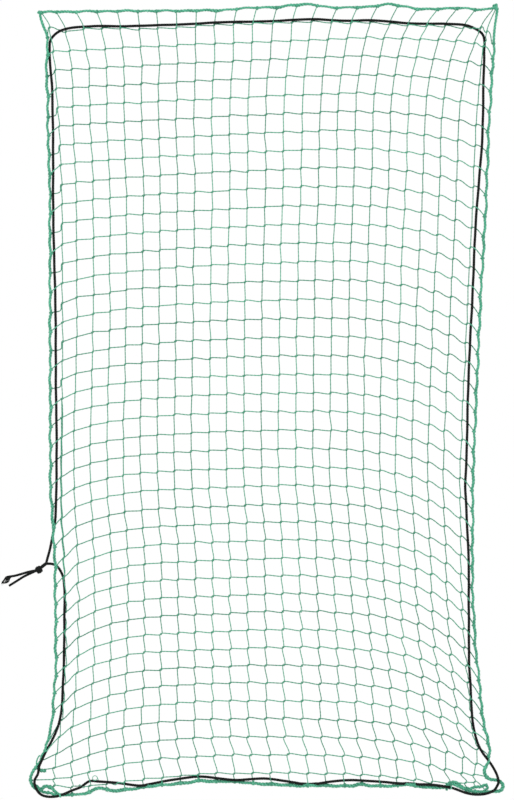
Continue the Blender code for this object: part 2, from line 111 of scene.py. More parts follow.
CORD_SWELLS = [(-172, 30, -5.5), (-91, 40, 6), (-10, 25, 3.5), (54, 20, -4), (115, 20, 1.5)]


def ramp(x, low, high):
    """A smooth rise from 0 at low to 1 at high."""
    share = min(1.0, max(0.0, (x - low) / (high - low)))
    return share * share * (3 - 2 * share)


def along(points, at):
    """Second column of a table, read at a value of the first one."""
    table = points if points[0][0] < points[-1][0] else points[::-1]
    if at <= table[0][0]:
        return table[0][1]
    for (start, value), (end, next_value) in zip(table, table[1:]):
        if at <= end:
            return value + (next_value - value) * (at - start) / (end - start)
    return table[-1][1]


def swells(x, bumps):
    return sum(h * math.exp(-(((x - at) / width) ** 2)) for at, width, h in bumps)


def rope_bottom(x):
    """Height of the bottom border rope: it drops to the left corner and a little to the right."""
    return BOTTOM_Z + swells(x, ROPE_SWELLS) - 12 * ramp(-x, 120, 275) - 3 * ramp(x, 185, 240)


def cord_bottom(x):
    return CORD_Z + swells(x, CORD_SWELLS) - 4 * ramp(x, 120, 215)


BOTTOM_EDGE = [(x, rope_bottom(x)) for x in range(-278, 230, 6)]
BOTTOM_END_X = 229  # the columns right of this are tied to the corner's second turn of rope
CORNER_LEFT = [  # (x, z)
    (-314, -1019), (-316.5, -1029), (-312.5, -1038), (-304, -1042.5), (-297, -1037.5),
    (-288, -1040.5), (-282.5, -1046),
]
CORNER_RIGHT = [  # (x, z)
    (287, -1016), (288.5, -1023), (294, -1028), (303, -1029.5), (309, -1032), (312, -1037),
    (309, -1043), (300, -1044.4), (290.5, -1044.9), (281, -1044.8), (271, -1044.4),
    (262, -1042), (252, -1037.5), (244, -1034.2), (238.5, -1035.2), (236, -1038),
]
COIL_RIGHT = [  # (x, z) of the second turn of rope at the lower right corner
    (236.5, -1043), (239, -1036), (242.5, -1032.8), (248, -1032.2), (252.5, -1034.5),
    (260, -1039.6), (268, -1041), (274, -1038.6), (283, -1038), (288, -1035.6),
    (291.5, -1039.2), (287, -1043.5),
]
COIL_LEFT = [  # (x, z) of the second turn of rope at the lower left corner
    (-309, -1036.5), (-303.5, -1043.2), (-297, -1045.8), (-290, -1046.4), (-283, -1049.6),
    (-276, -1049.9),
]
BUNCH_LEFT = [(-307, -1013.2), (-302.5, -1016.5), (-296.5, -1016.9)]  # (x, z)
SLACK_LEFT = [(-304.3, -996.3), (-307.5, -1001.5), (-308.6, -1008), (-306, -1014)]  # (x, z)

# centre line of the drawcord
CORD_LEFT = [  # (z, x)
    (-45, -290.3), (-63, -291), (-81, -289.8), (-104, -287.8), (-235, -286.5),
    (-390, -284), (-560, -281.5), (-665, -283), (-685, -283.9), (-700, -286.4),
    (-718, -289.6), (-770, -271.2), (-790, -270.7), (-812, -271.4), (-870, -272.5),
    (-930, -274.6), (-945, -276.2), (-960, -279.8), (-978, -288), (-994, -297),
    (-1010, -304), (-1023, -309.5), (-1040, -312),
]
CORD_RIGHT = [  # (z, x)
    (-45, 287), (-66, 287.5), (-90, 286.4), (-175, 284), (-290, 276), (-440, 268),
    (-580, 264), (-640, 261), (-740, 267), (-870, 266), (-950, 271.2), (-966, 274.5),
    (-983, 279.2), (-994, 285.5), (-1005, 294.5), (-1016, 301.5), (-1025, 304.9),
    (-1040, 306),
]
CORD_TOP = [  # (x, z) from the left corner to the right one
    (-290.4, -46), (-285.7, -39), (-277.6, -33.4), (-260, -28.6), (-240, -27),
    (-172, -26.5), (-120, -24.4), (-67, -22), (10, -19.6), (62, -17.6), (100, -19.2),
    (137, -19.1), (188, -22.8), (237, -23.9), (265, -26.3), (280, -33), (285.4, -39.5),
    (287.3, -48),
]
CORD_BOTTOM = [  # (x, z) round the left corner, along the bottom, round the right corner
    (-306.5, -1020.8), (-311, -1030), (-309, -1040), (-303, -1048), (-295, -1051),
    (-283, -1051), (-273, -1048), (-260, -1042.5), (-250, -1038.8),
    *((x, cord_bottom(x)) for x in range(-238, 216, 11)),
    (228, -1036.5), (241, -1039), (255, -1043.5), (262, -1046), (272, -1048), (284, -1048),
    (293, -1046), (301, -1041.5), (305.5, -1033.5), (304.5, -1024.5),
]
LEG_UPPER = [  # (x, y, z) from the net to the neck of the knot, as is the lower leg
    (-289.4, 3.5, -715.5), (-291.2, 2.6, -724), (-293.6, 0.6, -733), (-295.6, -1.5, -740.6),
]
LEG_LOWER = [
    (-271.9, 3.5, -771), (-273.2, 3.7, -760), (-277, 3.8, -751), (-281.5, 3.7, -745.2),
    (-287.5, 3.5, -742.2), (-295.2, 1.5, -741.6),
]
LEG_JOIN = (-296.0, -741.5)  # (x, z)
KNOT_X, KNOT_Z = -305.4, -749.6  # middle of the drawcord's overhand knot
EXIT_UPPER_Z, BEHIND_UPPER_Z, EXIT_LOWER_Z = -716.0, -669.0, -770.0
BEHIND_Y = 3.9  # how far back the drawcord lies where it leaves the net

TOP_TIES = [  # (column, x) where the columns are tied to the top rope
    (1, -302), (2, -282), (3, -256), (5, -201), (6, -174), (7, -149), (9, -96), (17, 118),
    (18, 145), (19, 172), (20, 198), (21, 225), (22, 251), (23, 275), (24, 300), (25, 303),
]


def middle_z(v):
    """Height of row v at the middle of the net."""
    return FIRST_ROW_Z - ROW_DROP * (v - 1) - 6.5 * math.sin(math.pi * ramp(v, 6, 43))


def sag(u, v):
    """How far row v hangs below its middle at column u."""
    tilt = 15 * (1 - ramp(v, 8, 34))
    left = 37 * ramp(v, 2, 34) - 5 * math.exp(-(((v - 22) / 5.0) ** 2))
    right = 5 + 18 * ramp(v, 1, 14) + 13 * ramp(v, 14, 34) - 7 * ramp(v, 34, 42)
    fall = left * math.exp(-(u - 2) / 3.0)
    fall += tilt * (15 - min(u, 18)) / 13.0
    fall += (right + 0.23 * tilt) * math.exp((u - 24) / 3.0)
    fall += 3.0 * math.exp(-(((u - 10) / 3.5) ** 2)) * ramp(v, 22, 28) * (1 - ramp(v, 34, 38))
    if v == 1:
        fall += 5.0 * (1 - ramp(u, 10, 15))
    # the lowest rows are held up by the bottom border
    room = -1049.0 + 8.0 * ramp(u, 21, 23.5) - middle_z(v)
    if fall > 0.01:
        share = max(0.0, -room) / fall
        fall *= 1 - math.exp(-(share**1.5))
    return fall


def mesh_corner(u, v):
    """(x, z) of the knot of column u and row v."""
    z = middle_z(v) - sag(u, v) * ramp(v, 0, 1.5)
    left, right = along(LEFT_EDGE, z), along(RIGHT_EDGE, z)
    # columns 2 and 24 bound the evenly spaced part of the net
    even_left = along(LEFT_EDGE, max(z, -960)) + 34.0 + 2.6 * (ramp(v, 6, 10) - ramp(v, 16, 20))
    even_left -= 3.2 * ramp(v, 19, 23) + 1.2 * ramp(v, 33, 36)
    even_left -= 9.1 * max(0.0, 1 - v / 3.0) ** 1.2
    even_right = right - 40.0 + 5.5 * ramp(v, 24, 30) + 7.0 * ramp(v, 39, 43)
    even_right += 31.7 * max(0.0, 1 - v / 6.0) ** 2.2
    if u <= 0:
        x = left
    elif u < 2:
        first = 0.47 - 0.13 * (1 - ramp(v, 2, 8)) - 0.2 * (1 - ramp(v, 0, 1))
        x = left + (even_left - left) * first
    elif u <= 24:
        share = (u - 2) / 22.0
        bow = -2.7 * math.sin(TURN * share)
        bow += 4.0 * math.sin(math.pi * share) * math.exp(-(((v - 26) / 8.0) ** 2))
        bow -= 3.0 * math.sin(math.pi * share**1.4) * math.exp(-(((v - 15) / 7.0) ** 2))
        bow += 4.5 * math.sin(math.pi * share**3) * math.exp(-(((v - 35) / 4.0) ** 2))
        bow += 5.0 * ramp(v, 40.5, 42) * ramp(u, 3, 8)
        x = even_left + (even_right - even_left) * share + bow
    elif u < COLUMNS:
        last = 0.57 - 0.14 * (1 - ramp(v, 1, 3.5)) + 0.3 * (1 - ramp(v, 0, 1))
        x = even_right + (right - even_right) * last
    else:
        x = right
    return x, z


def depth(x, z):
    """The net hangs almost flat: a gentle relief, in mm, towards the back."""
    mid = 1 - np.minimum(1.0, np.abs(x) / 290.0) ** 2
    wave = 0.9 * np.sin(x / 71.0 + z / 190.0) + 0.5 * np.sin(z / 83.0 - x / 120.0 + 1.0)
    return wave * (0.55 + 0.75 * mid)


# ---- knots of the net, with the small unevenness of a hand-hung net ---------------------
JITTER = 0.4
knots = np.zeros((COLUMNS + 1, ROWS + 1, 3))
jogs = np.zeros((COLUMNS + 1, ROWS + 1))  # how far the vertical jogs at the knot
steps = np.zeros((COLUMNS + 1, ROWS + 1))  # how far the horizontal steps at the knot
for v in range(ROWS + 1):
    for u in range(COLUMNS + 1):
        x, z = mesh_corner(u, v)
        jitter = RNG.normal(0, 1, 2)
        if 1 <= v < ROWS and 1 <= u < COLUMNS:
            x += JITTER * jitter[0]
            z += JITTER * jitter[1]
        knots[u, v] = (x, 0, z)
        jogs[u, v] = (0.45 + 0.9 * ramp(v, 24, 36)) * (0.7 + 0.6 * RNG.random())
        steps[u, v] = 0.95 * (0.6 + 0.8 * RNG.random())
for u in range(COLUMNS + 1):  # the columns are tied to the top and bottom ropes
    if 1 <= u < COLUMNS:
        knots[u, 0, 0] = along(TOP_TIES, u)
    knots[u, 0, 2] = along(TOP_EDGE, knots[u, 0, 0])
    x = knots[u, ROWS, 0]
    knots[u, ROWS, 2] = along(BOTTOM_EDGE if x < BOTTOM_END_X else COIL_RIGHT[2:8], x)
for u in range(2, 24):  # the first row hangs just under the drawcord
    x = knots[u, 1, 0]
    lower_by = 2.9 + 1.4 * ramp(x, -200, -175) * (1 - ramp(x, -110, -80))
    knots[u, 1, 2] = along(CORD_TOP, x) - lower_by
knots[1, 1] = (-291.3, 0, -28.5)
knots[24, 1] = (282.4, 0, -28.5)
knots[25, 1] = (290.2, 0, -34.0)
knots[COLUMNS, 1] = (297.2, 0, -50)
for v, lower_by in ((2, 13.0), (3, 6.0), (4, 3.5), (5, 2.5), (6, 1.5)):
    knots[COLUMNS, v, 2] -= lower_by
    knots[COLUMNS, v, 0] = along(RIGHT_EDGE, knots[COLUMNS, v, 2])
for v in range(25, 33):  # the gathered first column beside the cord's exit
    near = ramp(v, 24, 26) * (1 - ramp(v, 29, 31))
    knots[1, v] += (-2.5 * near, 0, -3.2 * near)
knots[1, ROWS] = (-290.5, 0, -1038.0)
for v in range(1, 37):  # the rows are tied lower down on the left border rope
    drop = 13.0 if v == 1 else 3.0 + 9.5 * ramp(v, 1, 5)
    knots[0, v, 2] = knots[1, v, 2] - drop
    knots[0, v, 0] = along(ROPE_LEFT, knots[0, v, 2])
TIED_LEFT = [  # (x, z) of the last ties on the left border, from row 37
    (-290, -973.5), (-295.3, -990.8), (-299.3, -1002.8), (-305, -1016), (-313.8, -1029.4),
    (-306, -1040),
]
for v, (x, z) in enumerate(TIED_LEFT, 37):
    knots[0, v] = (x, 0, z)
for v in range(36, 40):
    knots[COLUMNS, v, 0] = along(ROPE_RIGHT, knots[COLUMNS, v, 2])
knots[COLUMNS, 40] = (288.3, 0, -1013)
knots[COLUMNS, 41] = (290.5, 0, -1025)
knots[COLUMNS, 42] = (287, 0, -1041)
knots[:, :, 1] = depth(knots[:, :, 0], knots[:, :, 2])


# ---- mesh building ----------------------------------------------------------------------
class Piece:
    """Collects closed tubes, then makes one mesh object with the fibre attributes."""

    def __init__(self):
        self.points, self.quads, self.tris = [], [], []
        self.tone, self.groove, self.strand = [], [], []
        self.count = 0

    def add(self, points, quads, tris, tone, groove, strand):
        self.points.append(points)
        self.quads.append(quads + self.count)
        self.tris.append(tris + self.count)
        self.tone.append(np.full(len(points), float(tone)))
        self.groove.append(groove)
        self.strand.append(strand)
        self.count += len(points)

    def make(self, name, material):
        points = np.concatenate(self.points) * MM
        quads = np.concatenate(self.quads).astype(np.int32)
        tris = np.concatenate(self.tris).astype(np.int32)
        mesh = bpy.data.meshes.new(name)
        mesh.vertices.add(len(points))
        mesh.vertices.foreach_set("co", points.astype(np.float32).ravel())
        mesh.loops.add(4 * len(quads) + 3 * len(tris))
        mesh.loops.foreach_set("vertex_index", np.concatenate([quads.ravel(), tris.ravel()]))
        mesh.polygons.add(len(quads) + len(tris))
        starts = np.concatenate(
            [np.arange(len(quads)) * 4, 4 * len(quads) + np.arange(len(tris)) * 3]
        )
        mesh.polygons.foreach_set("loop_start", starts.astype(np.int32))
        mesh.polygons.foreach_set("use_smooth", np.ones(len(starts), bool))
        mesh.polygons.foreach_set("material_index", np.zeros(len(starts), np.int32))
        for key, values in (("tone", self.tone), ("groove", self.groove)):
            data = mesh.attributes.new(key, "FLOAT", "POINT")
            data.data.foreach_set("value", np.concatenate(values).astype(np.float32))
        data = mesh.attributes.new("strand", "FLOAT_VECTOR", "POINT")
        data.data.foreach_set("vector", np.concatenate(self.strand).astype(np.float32).ravel())
        mesh.update(calc_edges=True)
        mesh.materials.append(material)
        obj = bpy.data.objects.new(name, mesh)
        bpy.context.scene.collection.objects.link(obj)
        return obj


def unit(vectors):
    return vectors / (np.linalg.norm(vectors, axis=-1, keepdims=True) + 1e-12)


def run_along(path):
    """Length run from the start of a path to each of its points."""
    return np.concatenate([[0], np.cumsum(np.linalg.norm(np.diff(path, axis=0), axis=1))])


def nearest(path, x, z):
    """Index of the path's point nearest to (x, z), seen from the front."""
    return int(np.argmin(np.hypot(path[:, 0] - x, path[:, 2] - z)))


def way_at(path, i):
    return path[min(i + 1, len(path) - 1)] - path[max(i - 1, 0)]


def soften(values, times):
    """Evens out a row of values in place, keeping both ends."""
    for _ in range(times):
        values[1:-1] = 0.25 * values[:-2] + 0.5 * values[1:-1] + 0.25 * values[2:]


def turned(points, angle):
    """The points turned in the XZ plane."""
    cos, sin = math.cos(angle), math.sin(angle)
    x, y, z = points.T
    return np.stack([x * cos - z * sin, y, x * sin + z * cos], 1)


def resample(path, step):
    run = run_along(path)
    at = np.linspace(0, run[-1], max(2, int(round(run[-1] / step)) + 1))
    return np.stack([np.interp(at, run, values) for values in path.T], 1)


def hermite_at(t, start, start_way, end, end_way):
    return (
        (2 * t**3 - 3 * t**2 + 1) * start
        + (t**3 - 2 * t**2 + t) * start_way
        + (-2 * t**3 + 3 * t**2) * end
        + (t**3 - t**2) * end_way
    )


def hermite(start, start_way, end, end_way, step):
    count = max(3, int(round(np.linalg.norm(end - start) / step)) + 1)
    return hermite_at(np.linspace(0, 1, count)[:, None], start, start_way, end, end_way)


def spline(points, step):
    """A smooth curve through the points, resampled at an even step."""
    points = np.array(points, float)
    padded = np.vstack([2 * points[0] - points[1], points, 2 * points[-1] - points[-2]])
    t = np.linspace(0, 1, 13)[:-1, None]
    curve = []
    for i in range(1, len(padded) - 2):
        before, start, end, after = padded[i - 1 : i + 3]
        gap_before, gap, gap_after = (
            max(1e-6, np.linalg.norm(part)) ** 0.5
            for part in (start - before, end - start, after - end)
        )
        start_way = (end - start) + gap * (
            (start - before) / gap_before - (end - before) / (gap_before + gap)
        )
        end_way = (end - start) + gap * (
            (after - end) / gap_after - (after - start) / (gap + gap_after)
        )
        curve.append(hermite_at(t, start, start_way, end, end_way))
    return resample(np.vstack(curve + [points[-1:]]), step)


def flat_spline(points, step, y=0):
    """A smooth curve through (x, z) points."""
    return spline([(x, y, z) for x, z in points], step)


def frames(path, ref):
    """Tangent and two side directions. ref is a direction that the path never follows."""
    tangent = unit(np.gradient(path, axis=0))
    ref = np.broadcast_to(np.array(ref, float), path.shape)
    side = unit(ref - tangent * (tangent * ref).sum(1)[:, None])
    return tangent, side, np.cross(tangent, side)


def carried_frames(path):
    """Frames carried along the path without turning, for paths that go every way."""
    tangent = unit(np.gradient(path, axis=0))
    side = np.zeros_like(path)
    side[0] = unit(np.cross(tangent[0], (0.3, 0.9, 0.1)))
    for i in range(1, len(path)):
        side[i] = unit(side[i - 1] - tangent[i] * (side[i - 1] @ tangent[i]))
    return tangent, side, np.cross(tangent, side)


def ring_faces(rings, sides):
    base = np.arange(rings - 1)[:, None] * sides + np.arange(sides)[None, :]
    beside = np.arange(rings - 1)[:, None] * sides + (np.arange(sides)[None, :] + 1) % sides
    quads = np.stack([base, beside, beside + sides, base + sides], 2).reshape(-1, 4)
    k = np.arange(1, sides - 1)
    first = np.stack([np.zeros_like(k), k + 1, k], 1)
    end = (rings - 1) * sides
    last = np.stack([np.full_like(k, end), end + k, end + k + 1], 1)
    return quads, np.vstack([first, last])


def tube(piece, path, radius, sides=6, ref=(0, 1, 0), lobes=0, bite=0.0, pitch=10.0,
         phase=0.0, braid=0.0, tone=0.5, run0=0.0, seed=0.0, shade=0.0):
    """A line of cord; returns the run at its end. lobes and bite give laid strands that turn
    once a pitch; braid gives the diamond relief of a braided cord. ref=None carries the
    frames along the path."""
    _, side, up = carried_frames(path) if ref is None else frames(path, ref)
    run = run0 + run_along(path)
    around = TURN * np.arange(sides) / sides
    lay = TURN * run[:, None] / pitch
    reach = np.broadcast_to(np.array(radius, float), len(path))[:, None] * np.ones(sides)
    # the groove mask, 1 between strands, drives painted shade in the material; shade adds to it
    # all over
    groove = np.zeros_like(reach)
    if lobes:
        swing = np.cos(lobes * (around[None, :] - lay - phase))
        reach = reach * (1 + bite * swing)
        groove = 0.5 - 0.5 * swing
    if braid:
        weave = np.cos(3 * around[None, :] + lay) * np.cos(3 * around[None, :] - lay)
        reach = reach * (1 + braid * weave)
        groove = 0.5 - 0.5 * weave
    points = (
        path[:, None, :]
        + side[:, None, :] * (reach * np.cos(around))[:, :, None]
        + up[:, None, :] * (reach * np.sin(around))[:, :, None]
    ).reshape(-1, 3)
    twist = around[None, :] - lay * bool(lobes)
    strand = np.stack(
        [np.cos(twist), np.sin(twist), np.broadcast_to(run[:, None] * 0.12 + seed, reach.shape)],
        2,
    ).reshape(-1, 3)
    quads, tris = ring_faces(len(path), sides)
    piece.add(points, quads, tris, tone, np.clip(groove + shade, 0, 1).ravel(), strand)
    return run[-1]


def winding(centre, axis, advance, first, wide, second, deep, angle):
    """Points wound about an axis, wide along one side direction and deep along the other."""
    return (
        centre
        + axis * advance[:, None]
        + first * (np.cos(angle) * wide)[:, None]
        + second * (np.sin(angle) * deep)[:, None]
    )


# ---- materials --------------------------------------------------------------------------
def map_range(tree, value, from_range, to_range):
    node = tree.nodes.new("ShaderNodeMapRange")
    for i, number in enumerate((*from_range, *to_range), 1):
        node.inputs[i].default_value = number
    tree.links.new(value, node.inputs["Value"])
    return node


def fibre_material(name, dark, mid, light, roughness, sheen, specular, scale, bump,
                   groove_dark):
    """Twisted or braided plastic fibre: streaks along the strand, a tone for each strand,
    painted shade darkening the grooves between strands, worn paler spots and a fine bump."""
    material = bpy.data.materials.new(name)
    material.use_nodes = True
    tree = material.node_tree
    nodes, link = tree.nodes, tree.links.new
    shader = nodes["Principled BSDF"]

    def attribute(key):
        node = nodes.new("ShaderNodeAttribute")
        node.attribute_name = key
        return node

    def noise(vector, noise_scale, detail):
        node = nodes.new("ShaderNodeTexNoise")
        node.inputs["Scale"].default_value = noise_scale
        node.inputs["Detail"].default_value = detail
        link(vector, node.inputs["Vector"])
        return node

    def maths(operation, value, factor=None):
        node = nodes.new("ShaderNodeMath")
        node.operation = operation
        if factor is not None:
            node.inputs[1].default_value = factor
        link(value, node.inputs[0])
        return node

    strand = attribute("strand")
    tone = attribute("tone")
    groove = attribute("groove")
    streaks = noise(strand.outputs["Vector"], scale, detail=4.0)
    streaks.inputs["Roughness"].default_value = 0.62
    where = nodes.new("ShaderNodeTexCoord")
    patches = noise(where.outputs["Object"], 42.0, detail=3.0)
    # fibre colour from the streaks, shifted by the strand's tone
    colours = nodes.new("ShaderNodeValToRGB")
    stops = colours.color_ramp.elements
    stops[0].position, stops[0].color = 0.28, (*dark, 1)
    stops[1].position, stops[1].color = 0.76, (*light, 1)
    stops.new(0.5).color = (*mid, 1)
    toned = maths("MULTIPLY_ADD", tone.outputs["Fac"], factor=0.34)
    link(streaks.outputs["Fac"], toned.inputs[2])
    shift = maths("SUBTRACT", toned.outputs[0], factor=0.17)
    link(shift.outputs[0], colours.inputs["Fac"])
    # painted shade in the grooves between strands, with dusty, sun-worn patches
    fold = map_range(tree, groove.outputs["Fac"], (0.35, 1.0), (1.0, 1.0 - groove_dark))
    worn = map_range(tree, patches.outputs["Fac"], (0.42, 0.75), (0.93, 1.12))
    both = maths("MULTIPLY", fold.outputs[0])
    link(worn.outputs[0], both.inputs[1])
    scaled = nodes.new("ShaderNodeVectorMath")
    scaled.operation = "SCALE"
    link(colours.outputs["Color"], scaled.inputs[0])
    link(both.outputs[0], scaled.inputs["Scale"])
    link(scaled.outputs[0], shader.inputs["Base Color"])
    rough = map_range(
        tree, streaks.outputs["Fac"], (0.3, 0.7), (roughness - 0.1, roughness + 0.12)
    )
    link(rough.outputs[0], shader.inputs["Roughness"])
    shader.inputs["Sheen Weight"].default_value = sheen
    shader.inputs["Sheen Roughness"].default_value = 0.45
    shader.inputs["Specular IOR Level"].default_value = specular
    # bump from the streaks and a finer grain
    fine = noise(strand.outputs["Vector"], scale * 3.2, detail=3.0)
    height = maths("MULTIPLY_ADD", fine.outputs["Fac"], factor=0.5)
    link(streaks.outputs["Fac"], height.inputs[2])
    relief = nodes.new("ShaderNodeBump")
    relief.inputs["Strength"].default_value = bump
    relief.inputs["Distance"].default_value = 0.00016
    link(height.outputs[0], relief.inputs["Height"])
    link(relief.outputs["Normal"], shader.inputs["Normal"])
    return material


# the last number of each finish is how strongly painted shade darkens the grooves
twine_finish = fibre_material(
    "twine_fibre",
    dark=(0.042, 0.248, 0.148), mid=(0.072, 0.350, 0.215), light=(0.122, 0.462, 0.300),
    roughness=0.66, sheen=0.08, specular=0.2, scale=2.3, bump=0.55, groove_dark=0.35,
)
border_finish = fibre_material(
    "border_fibre",
    dark=(0.050, 0.285, 0.172), mid=(0.088, 0.420, 0.262), light=(0.155, 0.555, 0.370),
    roughness=0.7, sheen=0.10, specular=0.2, scale=2.6, bump=0.7, groove_dark=0.42,
)
cord_finish = fibre_material(
    "cord_braid",
    dark=(0.0022, 0.0028, 0.0025), mid=(0.0050, 0.0064, 0.0058),
    light=(0.0125, 0.0155, 0.0142),
    roughness=0.70, sheen=0.0, specular=0.13, scale=3.0, bump=0.8, groove_dark=0.5,
)


# ---- the twines of the netting ----------------------------------------------------------
STEP = 1.25
TWINE_LAY = dict(lobes=2, bite=0.17, pitch=10.0)  # two plies, one turn in a pitch
FINE_LAY = dict(lobes=2, bite=0.12, pitch=6.0)  # tighter lay of wraps and lashings


def knot_ends(u, v):
    """Where the four twines of a knot leave it: above, below, left, right."""
    centre, jog, step = knots[u, v], jogs[u, v], steps[u, v]
    above = centre + (jog, 0.25, 1.5)
    below = centre + (-jog, 0.25, -1.5)
    west = centre + (-1.35, -0.25, -step)
    east = centre + (1.35, -0.25, step)
    return above, below, west, east


def bulge(size, angle, count):
    """A small bow to the front or back between two knots."""
    return size * math.sin(angle) * np.sin(np.linspace(0, math.pi, count))


def column_path(u):
    """The whole vertical twine u and, for each of its points, the row number it is at."""
    paths, at = [], []
    start = knots[u, 0] + (0, 0.0, -0.5)
    for v in range(1, ROWS + 1):
        if v < ROWS:
            above, below, _, _ = knot_ends(u, v)
        else:
            above = knots[u, ROWS] + (0, 0, 0.6)
        chord = above - start
        span = np.linalg.norm(chord)
        lean = min(1.0, jogs[u, v] / 1.4)
        way_out = chord if v == 1 else np.array([-0.13 * lean, 0, -1.0]) * span * 0.8
        way_in = np.array([-0.10 * lean, 0, -1.0]) * span * 0.8
        way_out = 0.55 * way_out + 0.45 * chord
        way_in = 0.55 * way_in + 0.45 * chord
        line = hermite(start, way_out, above, way_in, STEP)
        rows = np.linspace(v - 1, v, len(line))
        line[:, 1] += bulge(0.5, u * 2.3 + v * 1.7, len(line))
        if v == ROWS:
            paths.append(line)
            at.append(rows)
        else:
            through = hermite(above, way_in * 0.15, below, way_in * 0.15, STEP)
            paths += [line[:-1], through[:-1]]
            at += [rows[:-1], np.full(len(through) - 1, float(v))]
            start = below
    return np.vstack(paths), np.concatenate(at)


def row_slope(start, end, v):
    slope = (end[2] - start[2]) / max(1.0, end[0] - start[0])
    if slope < 0:
        return (0.24 + 0.36 * ramp(v, 12, 30)) * slope + 0.05
    return 0.62 * slope + 0.03


def row_path(v):
    """The whole horizontal twine v, from border to border."""
    paths = []
    point = knots[0, v].copy()
    for u in range(1, COLUMNS + 1):
        if u < COLUMNS:
            _, _, west, east = knot_ends(u, v)
        else:
            west = knots[COLUMNS, v]
        chord = west - point
        slope = row_slope(point, west, v)
        way = np.array([1.0, 0, slope]) / math.hypot(1, slope) * np.linalg.norm(chord) * 1.05
        if u == 1 and v % 2 and v < 20:  # runs down beside the first column, then across
            bend = np.array([west[0] - 1.0, west[1] - 0.4, point[2] + 3.0])
            line = spline([point, bend, west + (-0.3, 0, -1.2), west], STEP)
        elif u == 1:
            line = hermite(point, chord * 0.9, west, chord * 0.9 + (3, 0, 0), STEP)
        else:
            line = hermite(point, way, west, chord if u == COLUMNS else way, STEP)
        line[:, 1] += bulge(0.4, u * 1.9 + v * 2.9, len(line))
        if u == COLUMNS:
            paths.append(line)
        else:
            through = hermite(west, way * 0.12, east, way * 0.12, STEP)
            paths += [line[:-1], through[:-1]]
            point = east
    return np.vstack(paths)


def knot_part(path, radius):
    part = Piece()
    # shade=0.1 gives the knot's wraps a little more painted shade all over
    tube(part, path, radius, ref=None, shade=0.1, **FINE_LAY)
    return part


def knot_parts():
    """The wraps of a net knot about its slanting axis: one helix, then one across it."""
    axis = np.array([0.62, 0, 0.78])
    across = np.array([-0.78, 0, 0.62])
    front = np.array([0.0, -1.0, 0.0])
    t = np.linspace(0, 1, 20)
    angle = TURN * 1.55 * t - 0.6
    grip = 1.02 + 0.1 * np.sin(angle * 0.5)
    helix = winding(0.0, axis, (t - 0.5) * 2.5, across, grip, front, grip * 0.95, angle)
    bar = [axis * a + front * b + across * c
           for a, b, c in ((-1.7, 0.3, 0), (-0.6, 1.15, 0.5), (0.6, 1.15, -0.5), (1.7, 0.3, 0))]
    return knot_part(helix, 0.58), knot_part(spline(bar, 0.8), 0.6)


KNOT_PARTS = knot_parts()


def stamp(piece, part, points, tone, strand_shift, mirrored=False):
    """Adds a copy of a knot part with its points moved."""
    quads, tris = part.quads[0], part.tris[0]
    if mirrored:
        quads, tris = quads[:, ::-1], tris[:, ::-1]
    strand = part.strand[0] + (0, 0, strand_shift)
    piece.add(points, quads, tris, tone, part.groove[0], strand)


def add_knot(piece, u, v):
    size = 0.92 + 0.2 * RNG.random()
    angle = RNG.normal(0, 0.22)
    tone = 0.15 + 0.5 * RNG.random()
    flip = 1 if RNG.random() < 0.8 else -1
    for part in KNOT_PARTS:
        points = turned(part.points[0] * size, angle)
        points[:, 1] *= flip
        stamp(piece, part, points + knots[u, v], tone, u * 3.1 + v * 7.7, flip < 0)


def twine(piece, path, run0, tone, seed, radius=TWINE_R):
    return tube(piece, path, radius, tone=tone, run0=run0, seed=seed, phase=seed, **TWINE_LAY)


# ---- the border rope --------------------------------------------------------------------
ROPE_STEP = 1.3
ROPE_PITCH = 13.0  # one turn of the three strands
STRAND_LAY = dict(sides=7, lobes=2, bite=0.08, pitch=7.0)


def rope_strands(path, spread=1.0, seed=0.0, strand_r=STRAND_R):
    """Run, and centre lines and radii of the three strands of a loosely laid rope."""
    _, side, up = frames(path, (0, 1, 0))
    run = run_along(path)
    loose = 0.98 + 0.16 * np.sin(run / 17.0 + seed) + 0.14 * np.sin(run / 6.3 + 2.0 * seed)
    loose = loose * spread
    strands = []
    for k in range(3):
        angle = TURN * (run / ROPE_PITCH + k / 3.0) + 0.35 * np.sin(run / 9.0 + seed)
        centre = (path + side * (loose * np.cos(angle))[:, None]
                  + up * (loose * np.sin(angle))[:, None])
        strands.append((centre, strand_r * (1 + 0.07 * np.sin(run / 5.0 + k * 2 + seed))))
    return run, strands


def lay_rope(piece, run, strands, first, last, seed):
    part = slice(first, last + 1)
    for k, (centre, radius) in enumerate(strands):
        tube(piece, centre[part], radius[part], phase=k, tone=0.25 + 0.25 * k,
             run0=run[first], seed=seed + 11 * k, **STRAND_LAY)


def rope(piece, path, **look):
    run, strands = rope_strands(path, **look)
    lay_rope(piece, run, strands, 0, len(path) - 1, look["seed"])


def lashing(piece, path, i, inward, turns=2.2, size=1.0, *, tone):
    """Turns of twine round the rope at point i, ending in a small knot on the net side."""
    at = path[i]
    axis = unit(way_at(path, i))
    inward = np.array(inward, float)
    inward = unit(inward - axis * (inward @ axis))
    t = np.linspace(0, 1, int(13 * turns))
    angle = TURN * turns * t
    grip = 1.95 * size + 0.12 * np.sin(3 * angle)
    coil = winding(at, axis, (t - 0.5) * 2.1 * size, inward, grip, np.cross(axis, inward), grip,
                   angle)
    tube(piece, coil, 0.55, ref=axis, tone=tone, seed=at[0] + at[2], **FINE_LAY)
    wrap = KNOT_PARTS[0]
    stamp(piece, wrap, wrap.points[0] * 0.85 + at + inward * 1.9 * size, tone, at[2] * 0.3)


